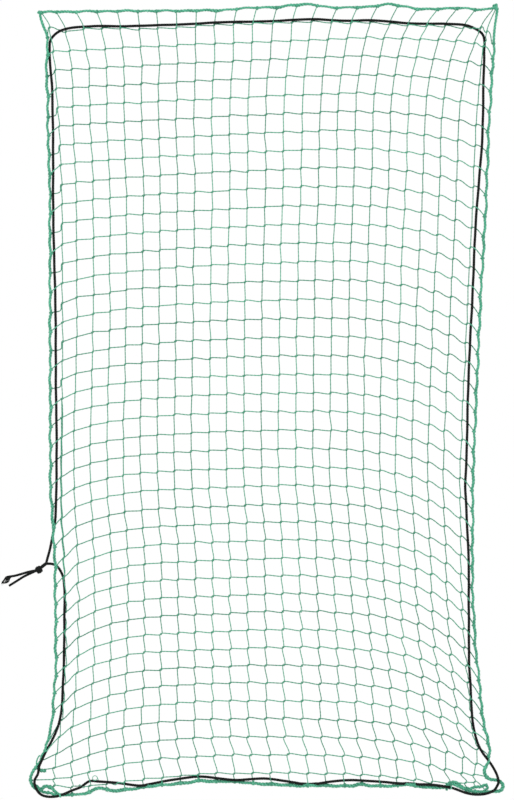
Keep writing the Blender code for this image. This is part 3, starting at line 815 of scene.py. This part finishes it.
def fuzz(piece, path, count, reach, seed):
    """Short loose fibre ends standing off a rope."""
    rng = np.random.default_rng(seed)
    tangent, side, up = frames(path, (0, 1, 0))
    for _ in range(count):
        i = rng.integers(1, len(path) - 1)
        angle = rng.random() * TURN
        out = side[i] * math.cos(angle) + up[i] * math.sin(angle)
        way = tangent[i] * rng.choice([-1, 1])
        length = rng.uniform(0.9, 2.1)
        start = path[i] + out * reach
        line = np.array([
            start,
            start + out * 0.35 * length + way * 0.3 * length,
            start + out * 0.55 * length + way * 0.75 * length + side[i] * rng.normal(0, 0.15),
            start + out * 0.6 * length + way * 1.2 * length + up[i] * rng.normal(0, 0.25),
        ])
        tube(piece, line, [0.13, 0.11, 0.09, 0.05], 3, ref=None, tone=0.8)


def overhand(piece, centre, size, radius, angle, tone):
    """A closed overhand knot, drawn tight: a trefoil seen from the front."""
    t = np.linspace(0, TURN, 90)
    x = (np.sin(t) + 2 * np.sin(2 * t)) / 3
    z = (np.cos(t) - 2 * np.cos(2 * t)) / 3
    path = turned(np.stack([x, -np.sin(3 * t), z], 1) * size, angle)
    path = resample(path + np.array(centre), 0.8)
    tube(piece, path, radius, 8, ref=None, pitch=5.0, lobes=2, bite=0.1, tone=tone)


def smooth_edge(edge, z, size=9.0):
    """The edge list read with its corners rounded off."""
    total = 0.0
    for k in (-1.0, -0.5, 0.0, 0.5, 1.0):
        total = total + np.array([along(edge, height + k * size) for height in z])
    return total / 5.0


def tie_wave(at, ties):
    """1 at each tie and -1 half way between two."""
    return np.cos(TURN * np.interp(at, ties, np.arange(len(ties))))


def top_rope():
    piece = Piece()
    path = flat_spline(TOP_EDGE, ROPE_STEP)
    path[:, 1] = depth(path[:, 0], path[:, 2]) * 0.6
    wave = tie_wave(path[:, 0], knots[1:COLUMNS, 0, 0])
    path[:, 2] += 0.3 * np.sin(path[:, 0] / 8.0) - 0.5 * wave
    slack = 0.78 + 0.38 * (0.5 + 0.5 * wave) + 0.16 * np.sin(path[:, 0] / 23.0)
    rope(piece, path, spread=slack, seed=1.0)
    for u in range(1, COLUMNS):
        i = int(np.argmin(np.abs(path[:, 0] - knots[u, 0, 0])))
        lashing(piece, path, i, (0, -0.4, -1), turns=2.4 + 0.8 * RNG.random(),
                size=1.0 + 0.12 * RNG.random(), tone=RNG.random())
    fuzz(piece, path, count=330, reach=1.5, seed=5)
    # the tied-off knots of the border rope at the top right and top left corners
    overhand(piece, (301.6, 0, 0.2), (3.0, 1.5, 2.5), radius=1.15, angle=0.4, tone=0.35)
    overhand(piece, (-305.2, 0.2, -8.3), (1.9, 1.2, 1.9), radius=0.85, angle=0.9, tone=0.5)
    return piece


def side_rope_path(column, top_z, end_z):
    """Down a side border rope, pulled in a little at each tie and bowed out between."""
    z = np.arange(top_z, end_z, -ROPE_STEP)
    x = smooth_edge(ROPE_LEFT if column == 0 else ROPE_RIGHT, z)
    pull = 0.75 * tie_wave(-z, -knots[column, 1:ROWS, 2])
    x = x + (pull if column == 0 else -pull) + 0.35 * np.sin(z / 11.0 + column)
    y = depth(x, z) + 0.3 * np.sin(z / 15.0)
    return np.stack([x, y, z], 1)


def border_line():
    """Down the left side, along the bottom and up the right side, as one line."""
    left = side_rope_path(0, -8.5, -1004.0)
    right = side_rope_path(COLUMNS, -2.0, -1005.0)
    line = [tuple(left[i][[0, 2]]) for i in (-14, -7, -1)] + CORNER_LEFT + BOTTOM_EDGE
    line += CORNER_RIGHT[::-1] + [tuple(right[i][[0, 2]]) for i in (-1, -7, -14)]
    low = flat_spline(line, ROPE_STEP)
    first, last = (nearest(low, end[0], end[2]) for end in (left[-1], right[-1]))
    low = low[first + 1 : last]
    wave = tie_wave(low[:, 0], knots[2:23, ROWS, 0])
    inside = np.clip((235 - np.abs(low[:, 0])) / 12.0, 0, 1)
    low[:, 2] += inside * (0.4 * wave + 0.25 * np.sin(low[:, 0] / 9.0))
    low[:, 1] = depth(low[:, 0], low[:, 2]) * 0.6
    line = np.vstack([left, low, right[::-1]])
    soften(line[:, 1], 4)
    return resample(line, ROPE_STEP)


top = top_rope()
border = border_line()
border_middle = nearest(border, 0, -1034)
# the lay is wider along the bottom, opens at the cord's exit and gathers at the lower right
low = np.clip((-985 - border[:, 2]) / 30.0, 0, 1)
opened = np.exp(-(((border[:, 2] + 684) / 13.0) ** 2)) * (border[:, 0] < 0)
gather = np.exp(-(((border[:, 2] + 975) / 22.0) ** 2)) * (border[:, 0] > 0)
border_run, border_strands = rope_strands(
    border, spread=1 + 0.3 * low + 0.95 * opened + 0.3 * gather, seed=2.0,
    strand_r=STRAND_R * (1 + 0.17 * low + 0.06 * gather))


def cut_height(column, i):
    """Height of cut i at a border: between the two ties there."""
    above, below = int(math.floor(CUTS[i])), int(math.ceil(CUTS[i]))
    return 0.5 * (knots[column, above, 2] + knots[column, below, 2])


def border_mark(column, i):
    """Index on the border of cut i; cut 0 is the end of the rope."""
    if i == 0:
        return 0 if column == 0 else len(border) - 1
    start = 0 if column == 0 else border_middle
    part = border[:border_middle] if column == 0 else border[border_middle:]
    return start + int(np.argmin(np.abs(part[:, 2] - cut_height(column, i))))


def lash_border(piece, at, inward, size=1.0):
    i = min(len(border) - 2, max(1, nearest(border, at[0], at[2])))
    lashing(piece, border, i, inward, turns=1.9 + 0.8 * RNG.random(),
            size=size * (1 + 0.1 * RNG.random()), tone=RNG.random())


def side_rope(column, i):
    """The side border rope between cut i and cut i + 1."""
    piece = Piece()
    upper, under = border_mark(column, i), border_mark(column, i + 1)
    first, last = sorted((upper, under))
    lay_rope(piece, border_run, border_strands, first, last, 2.0)
    high_z, low_z = border[upper, 2], border[under, 2]
    for v in range(1, ROWS):
        if low_z + 0.5 < knots[column, v, 2] <= high_z + 0.5:
            lash_border(piece, knots[column, v], (1 if column == 0 else -1, -0.3, 0.2))
    fuzz(piece, border[first : last + 1], count=int((high_z - low_z) * 0.5), reach=1.6,
         seed=31 + i + column)
    return piece


BORDER_COLUMNS = {"left": 0, "right": COLUMNS}
side_ropes = {(side_name, i): side_rope(column, i)
              for side_name, column in BORDER_COLUMNS.items() for i in range(7)}
lower_from, lower_to = border_mark(0, 7), border_mark(COLUMNS, 7)
lower_line = border[lower_from : lower_to + 1]


def lower_rope():
    """The bottom border rope with the second turns and slack at its corners."""
    piece = Piece()
    lay_rope(piece, border_run, border_strands, lower_from, lower_to, 2.0)
    for points, seed in ((COIL_RIGHT, 6.0), (COIL_LEFT, 7.0), (BUNCH_LEFT, 8.0)):
        path = flat_spline(points, ROPE_STEP)
        path[:, 1] += 1.1 * np.sin(np.linspace(0, TURN, len(path)))
        rope(piece, path, seed=seed, strand_r=1.0, spread=1.1)
        for share in (0.15, 0.5, 0.85):
            i = min(len(path) - 2, max(1, int(share * len(path))))
            lashing(piece, path, i, (0, -1, 0.3), size=1.15, tone=RNG.random())
    tube(piece, flat_spline(SLACK_LEFT, 1.2, y=0.6), 0.95, tone=0.7, **STRAND_LAY)
    for u in range(1, COLUMNS):
        lash_border(piece, knots[u, ROWS], (0, -0.4, 1), 1.28)
    for column in (0, COLUMNS):
        for v in range(41, ROWS):
            lash_border(piece, knots[column, v], (1 if column == 0 else -1, -0.3, 0.4), 1.15)
    fuzz(piece, lower_line, count=620, reach=2.0, seed=91)
    return piece


lower = lower_rope()


# ---- the drawcord -----------------------------------------------------------------------
CORD_STEP = 0.9
CORD_SIDES, BRAID_PITCH = 12, 7.0
WEAVE_Y = 2.6  # how far the cord swings to the back and the front at its crossings
FRONT_TOP = {1, 3, 5, 8, 9, 12, 13, 16, 17, 20, 21, 24}  # columns in front of the cord
HIDDEN_SPANS = ((-163, -134), (45, 64), (181, 196))  # x ranges where it is behind the rope


def woven(run, crossings):
    """Lays the cord through the meshes. crossings are (run, sign): sign 1 puts the cord
    behind the twine it passes there, -1 in front."""
    at, sign = np.array(sorted(crossings), float).T
    j = np.clip(np.searchsorted(at, run), 1, len(at) - 1)
    t = np.clip((run - at[j - 1]) / np.maximum(1e-6, at[j] - at[j - 1]), 0, 1)
    t = np.clip((t - 0.12) / 0.76, 0, 1)
    t = t * t * (3 - 2 * t)
    return WEAVE_Y * (sign[j - 1] * (1 - t) + sign[j] * t)


def row_at(v, x):
    """Height of row v at x."""
    for u in range(COLUMNS):
        start, end = knots[u, v], knots[u + 1, v]
        if start[0] <= x <= end[0]:
            return start[2] + (end[2] - start[2]) * (x - start[0]) / (end[0] - start[0])
    return knots[0 if x < 0 else COLUMNS, v, 2]


def column_at(u, z):
    return float(np.interp(-z, -knots[u, :, 2], knots[u, :, 0]))


def side_line(edge, start_z, end_z, back=lambda z: 0):
    """(x, y, z) points down or up one side run of the cord."""
    heights = np.linspace(start_z, end_z, max(3, int(abs(end_z - start_z) / 9.0)))
    across = smooth_edge(edge, heights, 6.0) + 0.5 * np.sin(heights / 37.0)
    return [(x, back(z), z) for x, z in zip(across, heights)]


def behind_upper(z):
    """Depth of the left run above the exit, where it slips behind the border rope."""
    return BEHIND_Y * ramp(BEHIND_UPPER_Z + 4 - z, 0, 22)


def behind_lower(z):
    return BEHIND_Y * (1 - ramp(EXIT_LOWER_Z - z, 0, 16))


# one long line: the upper leg, up the left side, along the top, down the right side, along
# the bottom, up the left side again and out along the lower leg
loop = spline([
    *LEG_UPPER[::-1],
    *side_line(CORD_LEFT, EXIT_UPPER_Z + 7, -58, behind_upper),
    *((x, 0, z) for x, z in CORD_TOP),
    *side_line(CORD_RIGHT, -60, -1012),
    *((x, 0, z) for x, z in CORD_BOTTOM[::-1]),
    *side_line(CORD_LEFT, -1012, EXIT_LOWER_Z - 6, behind_lower),
    *LEG_LOWER,
], CORD_STEP)
loop_run = run_along(loop)


def loop_index(x, z, first=0, last=None):
    return first + nearest(loop[first:last], x, z)


leg_in = loop_index(LEG_UPPER[0][0], LEG_UPPER[0][2], 0, len(loop) // 4)
leg_out = loop_index(LEG_LOWER[0][0], LEG_LOWER[0][2], 3 * len(loop) // 4)
top_left = loop_index(-290.4, -50)
top_right = loop_index(287, -50)
low_right = loop_index(304.9, -1024)
low_left = loop_index(-307, -1020)


def cord_crossings():
    """(run, sign) of each twine that the cord passes along the top, sides and bottom."""
    crossings = []
    top_line = [(x, z) for x, z in CORD_TOP if -286 < x < 285]
    for u in range(1, COLUMNS):
        z = along(top_line, knots[u, 0, 0])
        i = loop_index(column_at(u, z), z, top_left, top_right)
        crossings.append((loop_run[i], 1 if u in FRONT_TOP else -1))
    for v in range(2, 42):
        for edge, first, last in ((CORD_LEFT, leg_in, top_left),
                                  (CORD_RIGHT, top_right, low_right),
                                  (CORD_LEFT, low_left, leg_out)):
            z = middle_z(v) - 25
            for _ in range(4):
                z = row_at(v, along(edge, z))
            i = loop_index(along(edge, z), z, first, last)
            if first + 4 < i < last - 5 and abs(loop[i, 2] - z) < 6:
                crossings.append((loop_run[i], 1 if v % 2 == 0 else -1))
    for u in range(2, COLUMNS - 1):
        x = 0.6 * knots[u, 43, 0] + 0.4 * knots[u, 42, 0]
        i = loop_index(x, along(CORD_BOTTOM[4:-6], x), low_right, low_left)
        crossings.append((loop_run[i], 1 if u % 2 else -1))
    return crossings


weave = woven(loop_run, cord_crossings())
free = 1 - np.clip(loop[:, 1] / BEHIND_Y, 0, 1)
free[:leg_in] = 0
free[leg_out:] = 0
loop[:, 1] += free * (weave + depth(loop[:, 0], loop[:, 2]))
for point in loop[low_right - 30 : low_left + 30]:  # clear of the thick rope, before or behind
    if point[2] < -1004:
        gap = np.min(np.hypot(lower_line[:, 0] - point[0], lower_line[:, 2] - point[2]))
        hidden = any(start < point[0] < end for start, end in HIDDEN_SPANS)
        close = min(1.0, max(0.0, (4.8 - gap) / 1.4))
        point[1] += close * ((4.1 if hidden else -4.1) - point[1])
soften(loop[:, 1], 5)


# ---- the netting, laid round the drawcord -----------------------------------------------
cord_tree = kdtree.KDTree(len(loop))
for i, point in enumerate(loop):
    cord_tree.insert(point, i)
cord_tree.balance()
heading = np.gradient(loop, axis=0)
cord_across = unit(np.stack([-heading[:, 2], 0 * heading[:, 0], heading[:, 0]], 1))
TWINE_REACH = CORD_R + TWINE_R + 0.15
KNOT_REACH = CORD_R + 1.5


def clear_of_cord(path):
    """Leads a twine round the drawcord where the two would pass through each other."""
    path = path.copy()
    for turn in range(6):
        near = np.array([cord_tree.find(point)[1] for point in path])
        gap = path - loop[near]
        far = np.linalg.norm(gap, axis=1)
        if far.min() >= TWINE_REACH:
            break
        across = cord_across[near]
        offset = np.where(far < 3 * TWINE_REACH, (gap * across).sum(1), 0)
        way = np.where(np.convolve(offset, np.ones(15), "full")[7:-7] < 0, -1.0, 1.0)
        gap = gap + across * (1.2 * way * np.clip(1 - far / TWINE_REACH, 0, 1))[:, None]
        wide = np.maximum(1e-3, np.linalg.norm(gap, axis=1))
        target = loop[near] + gap * (TWINE_REACH / wide)[:, None]
        push = np.where((far < TWINE_REACH)[:, None], target - path, 0)
        if turn < 5:
            soften(push, 1)
        path += push
    return path


for v in range(1, ROWS):  # knots are moved off the cord first
    for u in range(1, COLUMNS):
        gap = knots[u, v] - loop[cord_tree.find(knots[u, v])[1]]
        far = np.linalg.norm(gap)
        if 1e-3 < far < KNOT_REACH:
            knots[u, v] += gap * (KNOT_REACH / far - 1)


def piece_of(v):
    """Number of the netting piece that row v is in."""
    return int(np.searchsorted(CUTS, v, side="right")) - 1


def piece_span(at, i, start=0, end=ROWS):
    """The part of a column that lies in piece i, between two rows."""
    inside = (at >= max(start, CUTS[i]) - 1e-6) & (at <= min(end, CUTS[i + 1]) + 1e-6)
    keep = np.where(inside)[0]
    return slice(keep[0] - (1 if CUTS[i] > start else 0), keep[-1] + 1)


netting = [Piece() for _ in range(8)]
for u in range(1, COLUMNS):
    path, at = column_path(u)
    path = clear_of_cord(path)
    tone, seed = RNG.random(), float(u) * 5.3
    run = 0.0
    for i in range(8):
        run = twine(netting[i], path[piece_span(at, i)], run, tone, seed)
for v in range(1, ROWS):
    path = clear_of_cord(row_path(v))
    twine(netting[piece_of(v)], path, 0.0, RNG.random(), 200 + v * 3.7, ROW_TWINE_R)
for v in range(1, ROWS):
    for u in range(1, COLUMNS):
        add_knot(netting[piece_of(v)], u, v)


def double_first_column(first_row=20, last_row=29):
    """Doubles column 1 where the net gathers towards the cord's exit."""
    path, at = column_path(1)
    wind = TURN * np.arange(len(path)) / 34.0
    apart = np.interp(at, [first_row, first_row + 0.35, last_row - 0.35, last_row],
                      [0, 1, 1, 0])
    beside = np.stack([1.15 + 0.25 * np.cos(wind), 0.45 * np.sin(wind), 0 * wind], 1)
    path = clear_of_cord(path + beside * apart[:, None])
    for i in range(piece_of(first_row), piece_of(last_row) + 1):
        part = piece_span(at, i, first_row, last_row)
        twine(netting[i], path[part], part.start * STEP, 0.4, 77.0)


double_first_column()


# ---- the drawcord's pieces --------------------------------------------------------------
def cord_piece(first, last):
    piece = Piece()
    tube(piece, loop[first : last + 1], CORD_R, CORD_SIDES, braid=0.11, pitch=BRAID_PITCH,
         run0=loop_run[first])
    return piece


def cord_mark(side_name, i):
    """Index on the loop of the joint just above cut i."""
    z = cut_height(BORDER_COLUMNS[side_name], i) + (4 if i == 1 else 6)
    if side_name == "right":
        first, last = top_right, low_right
    else:
        first, last = (leg_in, top_left) if i <= 4 else (low_left, leg_out)
    return first + int(np.argmin(np.abs(loop[first:last, 2] - z)))


cords = {("right", i): cord_piece(cord_mark("right", i), cord_mark("right", i + 1))
         for i in range(1, 7)}
for i in range(1, 4):
    cords["left", i] = cord_piece(cord_mark("left", i + 1), cord_mark("left", i))
cords["left", 4] = cord_piece(leg_in, cord_mark("left", 4))
cords["left", 5] = cord_piece(cord_mark("left", 6), leg_out)
cords["left", 6] = cord_piece(cord_mark("left", 7), cord_mark("left", 6))
cord_top = cord_piece(cord_mark("left", 1), cord_mark("right", 1))
cord_lower = cord_piece(cord_mark("right", 7), cord_mark("left", 7))
leg_upper = cord_piece(0, leg_in)
leg_lower = cord_piece(leg_out, len(loop) - 1)


def corner_ties(piece):
    """Pale ties round the cord at the lower corners."""
    turns, radius = 2.4, 2.5
    bottom = loop[cord_mark("right", 7) : cord_mark("left", 7) + 1]
    t = np.linspace(0, 1, int(18 * turns))
    for x, z in ((241.4, -1039.0), (-277.3, -1049.5)):
        i = nearest(bottom, x, z)
        axis = unit(way_at(bottom, i))
        first = unit(np.cross(axis, (0, 1, 0)))
        coil = winding(bottom[i], axis, (t - 0.5) * 1.6, first, radius, np.cross(axis, first),
                       radius, TURN * turns * t)
        tube(piece, coil, 0.5, ref=axis, tone=0.98, **FINE_LAY)


def spare_loop(piece):
    """The thin loop of twine above the bottom rope, near the left corner."""
    t = np.linspace(0.3, TURN + 0.9, 26)
    path = np.stack([-230.8 + 3.3 * np.cos(t), -1.0 + 0.5 * np.sin(2 * t),
                     -1026.6 + 3.1 * np.sin(t)], 1)
    path = np.vstack([path, path[-1] + (2.5, 0.4, -5.0), path[-1] + (4.0, 0.8, -9.0)])
    tube(piece, spline(path[::3], 0.9), 0.5, tone=0.8, **FINE_LAY)


corner_ties(lower)
spare_loop(lower)


# ---- the drawcord's knot and tails ------------------------------------------------------
KNOT_CORD_R = 1.7
LINE_STEP = 0.8


def knot_cord(piece, path, radius=KNOT_CORD_R):
    tube(piece, path, radius, CORD_SIDES, ref=None, braid=0.07, pitch=BRAID_PITCH)


def knot_neck(piece):
    """Two cords side by side from the legs into the knot."""
    for y, lift in ((-1.7, 0.7), (1.7, -0.6)):
        knot_cord(piece, spline([
            (LEG_JOIN[0] + 1.0, y * 0.9, LEG_JOIN[1] + 0.8 + lift), (-298.6, y, -743.6 + lift),
            (-301.6, y * 0.9, -746.0 + lift), (KNOT_X, y * 0.6, KNOT_Z),
        ], LINE_STEP))


def wrapped_knot(piece):
    """The doubled overhand knot: turns of cord cross and wrap the pair that passes through,
    leaving a round, slightly flattened lump."""
    direction = np.array([-0.86, 0, -0.51])
    across = np.array([-0.51, 0, 0.86])
    front = np.array([0, -1.0, 0])
    centre = np.array([KNOT_X, 0.0, KNOT_Z])
    t = np.linspace(0, 1, 60)
    for shift, lean, start in ((-1.9, 0.6, 0.3), (0.2, -0.2, 1.4), (2.0, -0.6, 2.2)):
        angle = TURN * 1.1 * t + start
        advance = shift + 1.0 * (t - 0.5) + lean * 1.6 * np.sin(angle)
        ring = winding(centre, direction, advance, across, 3.7 - 0.25 * abs(shift), front, 2.9,
                       angle)
        knot_cord(piece, resample(ring, LINE_STEP))
    for side in (1.0, -1.0):  # a slanting cord over the front and one over the back
        slant = [centre + across * a - direction * b + front * c * side
                 for a, b, c in ((3.1, 2.6, 1.2), (1.3, 0.9, 3.9), (-1.3, -0.9, 3.9),
                                 (-3.1, -2.6, 1.2))]
        knot_cord(piece, spline(slant, LINE_STEP), KNOT_CORD_R * 0.95)


TAIL_UPPER = [  # (x, y, z)
    (KNOT_X - 1.5, -1.6, KNOT_Z - 0.2), (-309.6, -1.7, -750.5), (-313, -1.8, -751.2),
    (-320, -1.8, -752.7), (-329.2, -1.8, -755.4), (-337, -1.8, -757.5),
    (-343.6, -1.8, -758.6), (-348.4, -1.9, -759.4), (-350.8, -2.0, -762.6),
    (-354.3, -2.0, -767.2),
]
TAIL_LOWER = [  # (x, y, z)
    (KNOT_X - 1.5, 1.6, KNOT_Z - 0.8), (-309.4, 1.7, -751.2), (-312.4, 1.8, -752.6),
    (-319, 1.8, -755.6), (-326.2, 1.8, -759.2), (-336, 1.8, -765.4), (-345.4, 1.8, -771.2),
]
# (share of the length, radius)
TAPER_UPPER = [(0, 1.6), (0.72, 1.55), (0.8, 1.3), (0.9, 1.2), (0.97, 1.25), (1, 0.9)]
TAPER_LOWER = [(0, 1.6), (0.97, 1.55), (1, 1.2)]
YARN_START = (-344.0, -758.9)  # (x, z)
YARN_ENDS = ((-352.2, -767.8), (-350.4, -768.0), (-348.2, -767.3))  # (x, z)


def tapered(path, taper):
    shares, radii = zip(*taper)
    return np.interp(np.linspace(0, 1, len(path)), shares, radii)


def cord_tail(points, taper):
    piece = Piece()
    path = spline(points, LINE_STEP)
    tube(piece, path, tapered(path, taper), CORD_SIDES, ref=None, braid=0.075,
         pitch=BRAID_PITCH)
    return piece, path


def frayed_end(piece, path):
    """The half-opened bend of the upper tail: loose yarns beside the bent cord, and hairs."""
    rng = np.random.default_rng(8)
    for k, (x, z) in enumerate(YARN_ENDS):
        yarn = spline([
            (YARN_START[0] + 0.9 * k, -1.8 + 0.5 * k, YARN_START[1]),
            (-347.6 + 1.5 * k, -1.2 + 0.6 * k, -761.2 - 0.4 * k),
            (0.45 * x - 0.55 * 347.2 + 1.1 * k, -1.2 + 0.7 * k, 0.5 * z - 0.5 * 762.5),
            (x, -1.4 + 0.8 * k, z),
        ], 0.7)
        radius = tapered(yarn, [(0, 0.7), (0.15, 0.95), (0.8, 0.8), (1, 0.45)])
        tube(piece, yarn, radius, 8, ref=None, lobes=3, bite=0.12, pitch=5.0, tone=0.9)
    for k in range(46):
        if k % 2:
            base = path[-1 - rng.integers(0, 9)]
        else:
            x, z = YARN_ENDS[k % 3]
            base = np.array([x + rng.normal(0, 0.6), rng.normal(-0.8, 0.5),
                             z + 2.5 * rng.random()])
        drift = np.array([-0.55, 0, -0.83]) + rng.normal(0, 0.42, 3)
        length = rng.uniform(1.2, 2.8)
        tip = base + drift * length + rng.normal(0, 0.25, 3)
        hair = spline([base, base + drift * length * 0.5, tip], 0.6)
        tube(piece, hair, np.linspace(0.2, 0.09, len(hair)), 4, ref=None, tone=0.8)


cord_knot = Piece()
knot_neck(cord_knot)
wrapped_knot(cord_knot)
tail_upper, upper_path = cord_tail(TAIL_UPPER, TAPER_UPPER)
frayed_end(tail_upper, upper_path)
tail_lower, _ = cord_tail(TAIL_LOWER, TAPER_LOWER)


def finish(replaced):
    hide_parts(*replaced)


def place(obj, i):
    """Bakes the transform of the piece between cut i and cut i + 1; the last piece rides on
    panel_7.
    """
    if i == 0:
        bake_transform(obj)
    elif i < 7:
        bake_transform(obj)
    else:
        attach(obj, "panel_7")


def numbered(prefix, i):
    """The CAD pieces on both sides of fold i."""
    return [f"{prefix}_{k}" for k in (i, i + 1) if 1 <= k <= 7]


for i in range(8):
    obj = netting[i].make(f"netting_{i + 1}", twine_finish)
    place(obj, i)
    finish(numbered("net_panel", i))

obj = top.make("border_rope_top_laid", border_finish)
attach(obj, "top_rope")
finish(["border_rope_top"])
for (side_name, i), piece in side_ropes.items():
    obj = piece.make(f"border_rope_{side_name}_laid_{i + 1}", border_finish)
    place(obj, i)
    finish(numbered(f"border_rope_{side_name}", i))
obj = lower.make("border_rope_lower_laid", border_finish)
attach(obj, "panel_7")
finish(["border_rope_bottom", "border_rope_corner_left", "border_rope_corner_right",
                       "border_rope_left_7", "border_rope_right_7"])

obj = cord_top.make("drawcord_braid_top", cord_finish)
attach(obj, "panel_1")
finish(["drawcord_top", "drawcord_left_1", "drawcord_right_1"])
CORD_NODES = {  # CAD pieces of the left run by the cord's exit and below
    ("left", 4): ["drawcord_left_4", "drawcord_left_5_upper"],
    ("left", 5): ["drawcord_left_5_lower", "drawcord_left_6"],
}
for i in range(1, 7):
    for side_name in ("left", "right"):
        obj = cords[side_name, i].make(f"drawcord_braid_{side_name}_{i + 1}", cord_finish)
        place(obj, i)
        finish(CORD_NODES.get((side_name, i), numbered(f"drawcord_{side_name}", i)))
obj = cord_lower.make("drawcord_braid_lower", cord_finish)
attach(obj, "panel_7")
finish(["drawcord_bottom", "drawcord_left_7", "drawcord_right_7"])

for name, piece, points in (
    ("leg_upper", leg_upper, LEG_UPPER),
    ("leg_lower", leg_lower, LEG_LOWER),
):
    obj = piece.make(f"drawcord_braid_{name}", cord_finish)
    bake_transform(obj)
    finish([f"drawcord_{name}"])
obj = cord_knot.make("drawcord_braid_knot", cord_finish)
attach(obj, "knot")
finish(["drawcord_knot"])
for name, piece, nodes in (
    ("tail_upper", tail_upper, ["drawcord_tail_upper", "drawcord_tail_end"]),
    ("tail_lower", tail_lower, ["drawcord_tail_lower"]),
):
    obj = piece.make(f"drawcord_braid_{name}", cord_finish)
    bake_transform(obj)
    finish(nodes)


# ---- stage, light and camera, in metres -------------------------------------------------
FLOOR_Z, FLOOR_HALF, FLOOR_CELLS = -1.10, 30.0, 24
LIGHT_AIM = (0, 0, -0.52)


def floor_material():
    """White floor near the net, fading to a pure white glow further out."""
    material = bpy.data.materials.new("floor_white")
    material.use_nodes = True
    tree = material.node_tree
    nodes, link = tree.nodes, tree.links.new
    shader = nodes["Principled BSDF"]
    shader.inputs["Base Color"].default_value = (0.86, 0.86, 0.855, 1)
    shader.inputs["Roughness"].default_value = 0.85
    glow = nodes.new("ShaderNodeEmission")
    glow.inputs["Color"].default_value = (1, 1, 1, 1)
    glow.inputs["Strength"].default_value = 1.0
    # distance from the middle, measured on the level
    where = nodes.new("ShaderNodeNewGeometry")
    length = nodes.new("ShaderNodeVectorMath")
    length.operation = "LENGTH"
    flatten = nodes.new("ShaderNodeVectorMath")
    flatten.operation = "MULTIPLY"
    flatten.inputs[1].default_value = (1, 1, 0)
    link(where.outputs["Position"], flatten.inputs[0])
    link(flatten.outputs[0], length.inputs[0])
    fade = map_range(tree, length.outputs["Value"], (0.28, 0.52), (0.0, 1.0))
    fade.interpolation_type = "SMOOTHSTEP"
    mix = nodes.new("ShaderNodeMixShader")
    link(fade.outputs[0], mix.inputs[0])
    link(shader.outputs[0], mix.inputs[1])
    link(glow.outputs[0], mix.inputs[2])
    link(mix.outputs[0], nodes["Material Output"].inputs["Surface"])
    return material


def stage():
    mesh = bpy.data.meshes.new("floor")
    row = FLOOR_CELLS + 1
    lines = [(-FLOOR_HALF + 2 * FLOOR_HALF * i / FLOOR_CELLS) for i in range(row)]
    verts = [(x, y, FLOOR_Z) for y in lines for x in lines]
    faces = [
        (j * row + i, j * row + i + 1, (j + 1) * row + i + 1, (j + 1) * row + i)
        for j in range(FLOOR_CELLS)
        for i in range(FLOOR_CELLS)
    ]
    mesh.from_pydata(verts, [], faces)
    floor = bpy.data.objects.new("floor", mesh)
    bpy.context.scene.collection.objects.link(floor)
    floor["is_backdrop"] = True
    mesh.materials.append(floor_material())


stage()
scene = bpy.context.scene
scene.view_settings.view_transform = "Standard"
world = scene.world or bpy.data.worlds.new("studio")
scene.world = world
world.use_nodes = True
background = world.node_tree.nodes["Background"]
background.inputs["Color"].default_value = (1, 1, 1, 1)
background.inputs["Strength"].default_value = 1.0


def area(name, at, size, power):
    light = bpy.data.lights.new(name, "AREA")
    light.energy = power
    light.shape = "RECTANGLE"
    light.size, light.size_y = size
    obj = bpy.data.objects.new(name, light)
    scene.collection.objects.link(obj)
    obj.location = at
    direction = np.array(LIGHT_AIM) - np.array(at)
    obj.rotation_mode = "QUATERNION"
    obj.rotation_quaternion = Vector(direction).to_track_quat("-Z", "Y")


area("key", at=(-1.6, -2.6, 1.2), size=(1.6, 1.6), power=34.0)
area("fill", at=(2.0, -2.2, 0.2), size=(1.8, 1.8), power=14.0)
area("back", at=(0.4, 2.4, 1.0), size=(1.8, 1.2), power=10.0)

camera = bpy.data.cameras.new("camera")
camera.lens, camera.sensor_width = 200.0, 36.0
camera.clip_start, camera.clip_end = 0.1, 200.0
eye = bpy.data.objects.new("camera", camera)
scene.collection.objects.link(eye)
eye.location = (-0.0153, -5.911, -0.5239)
eye.rotation_euler = (math.pi / 2, 0, 0)
scene.camera = eye

low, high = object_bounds()
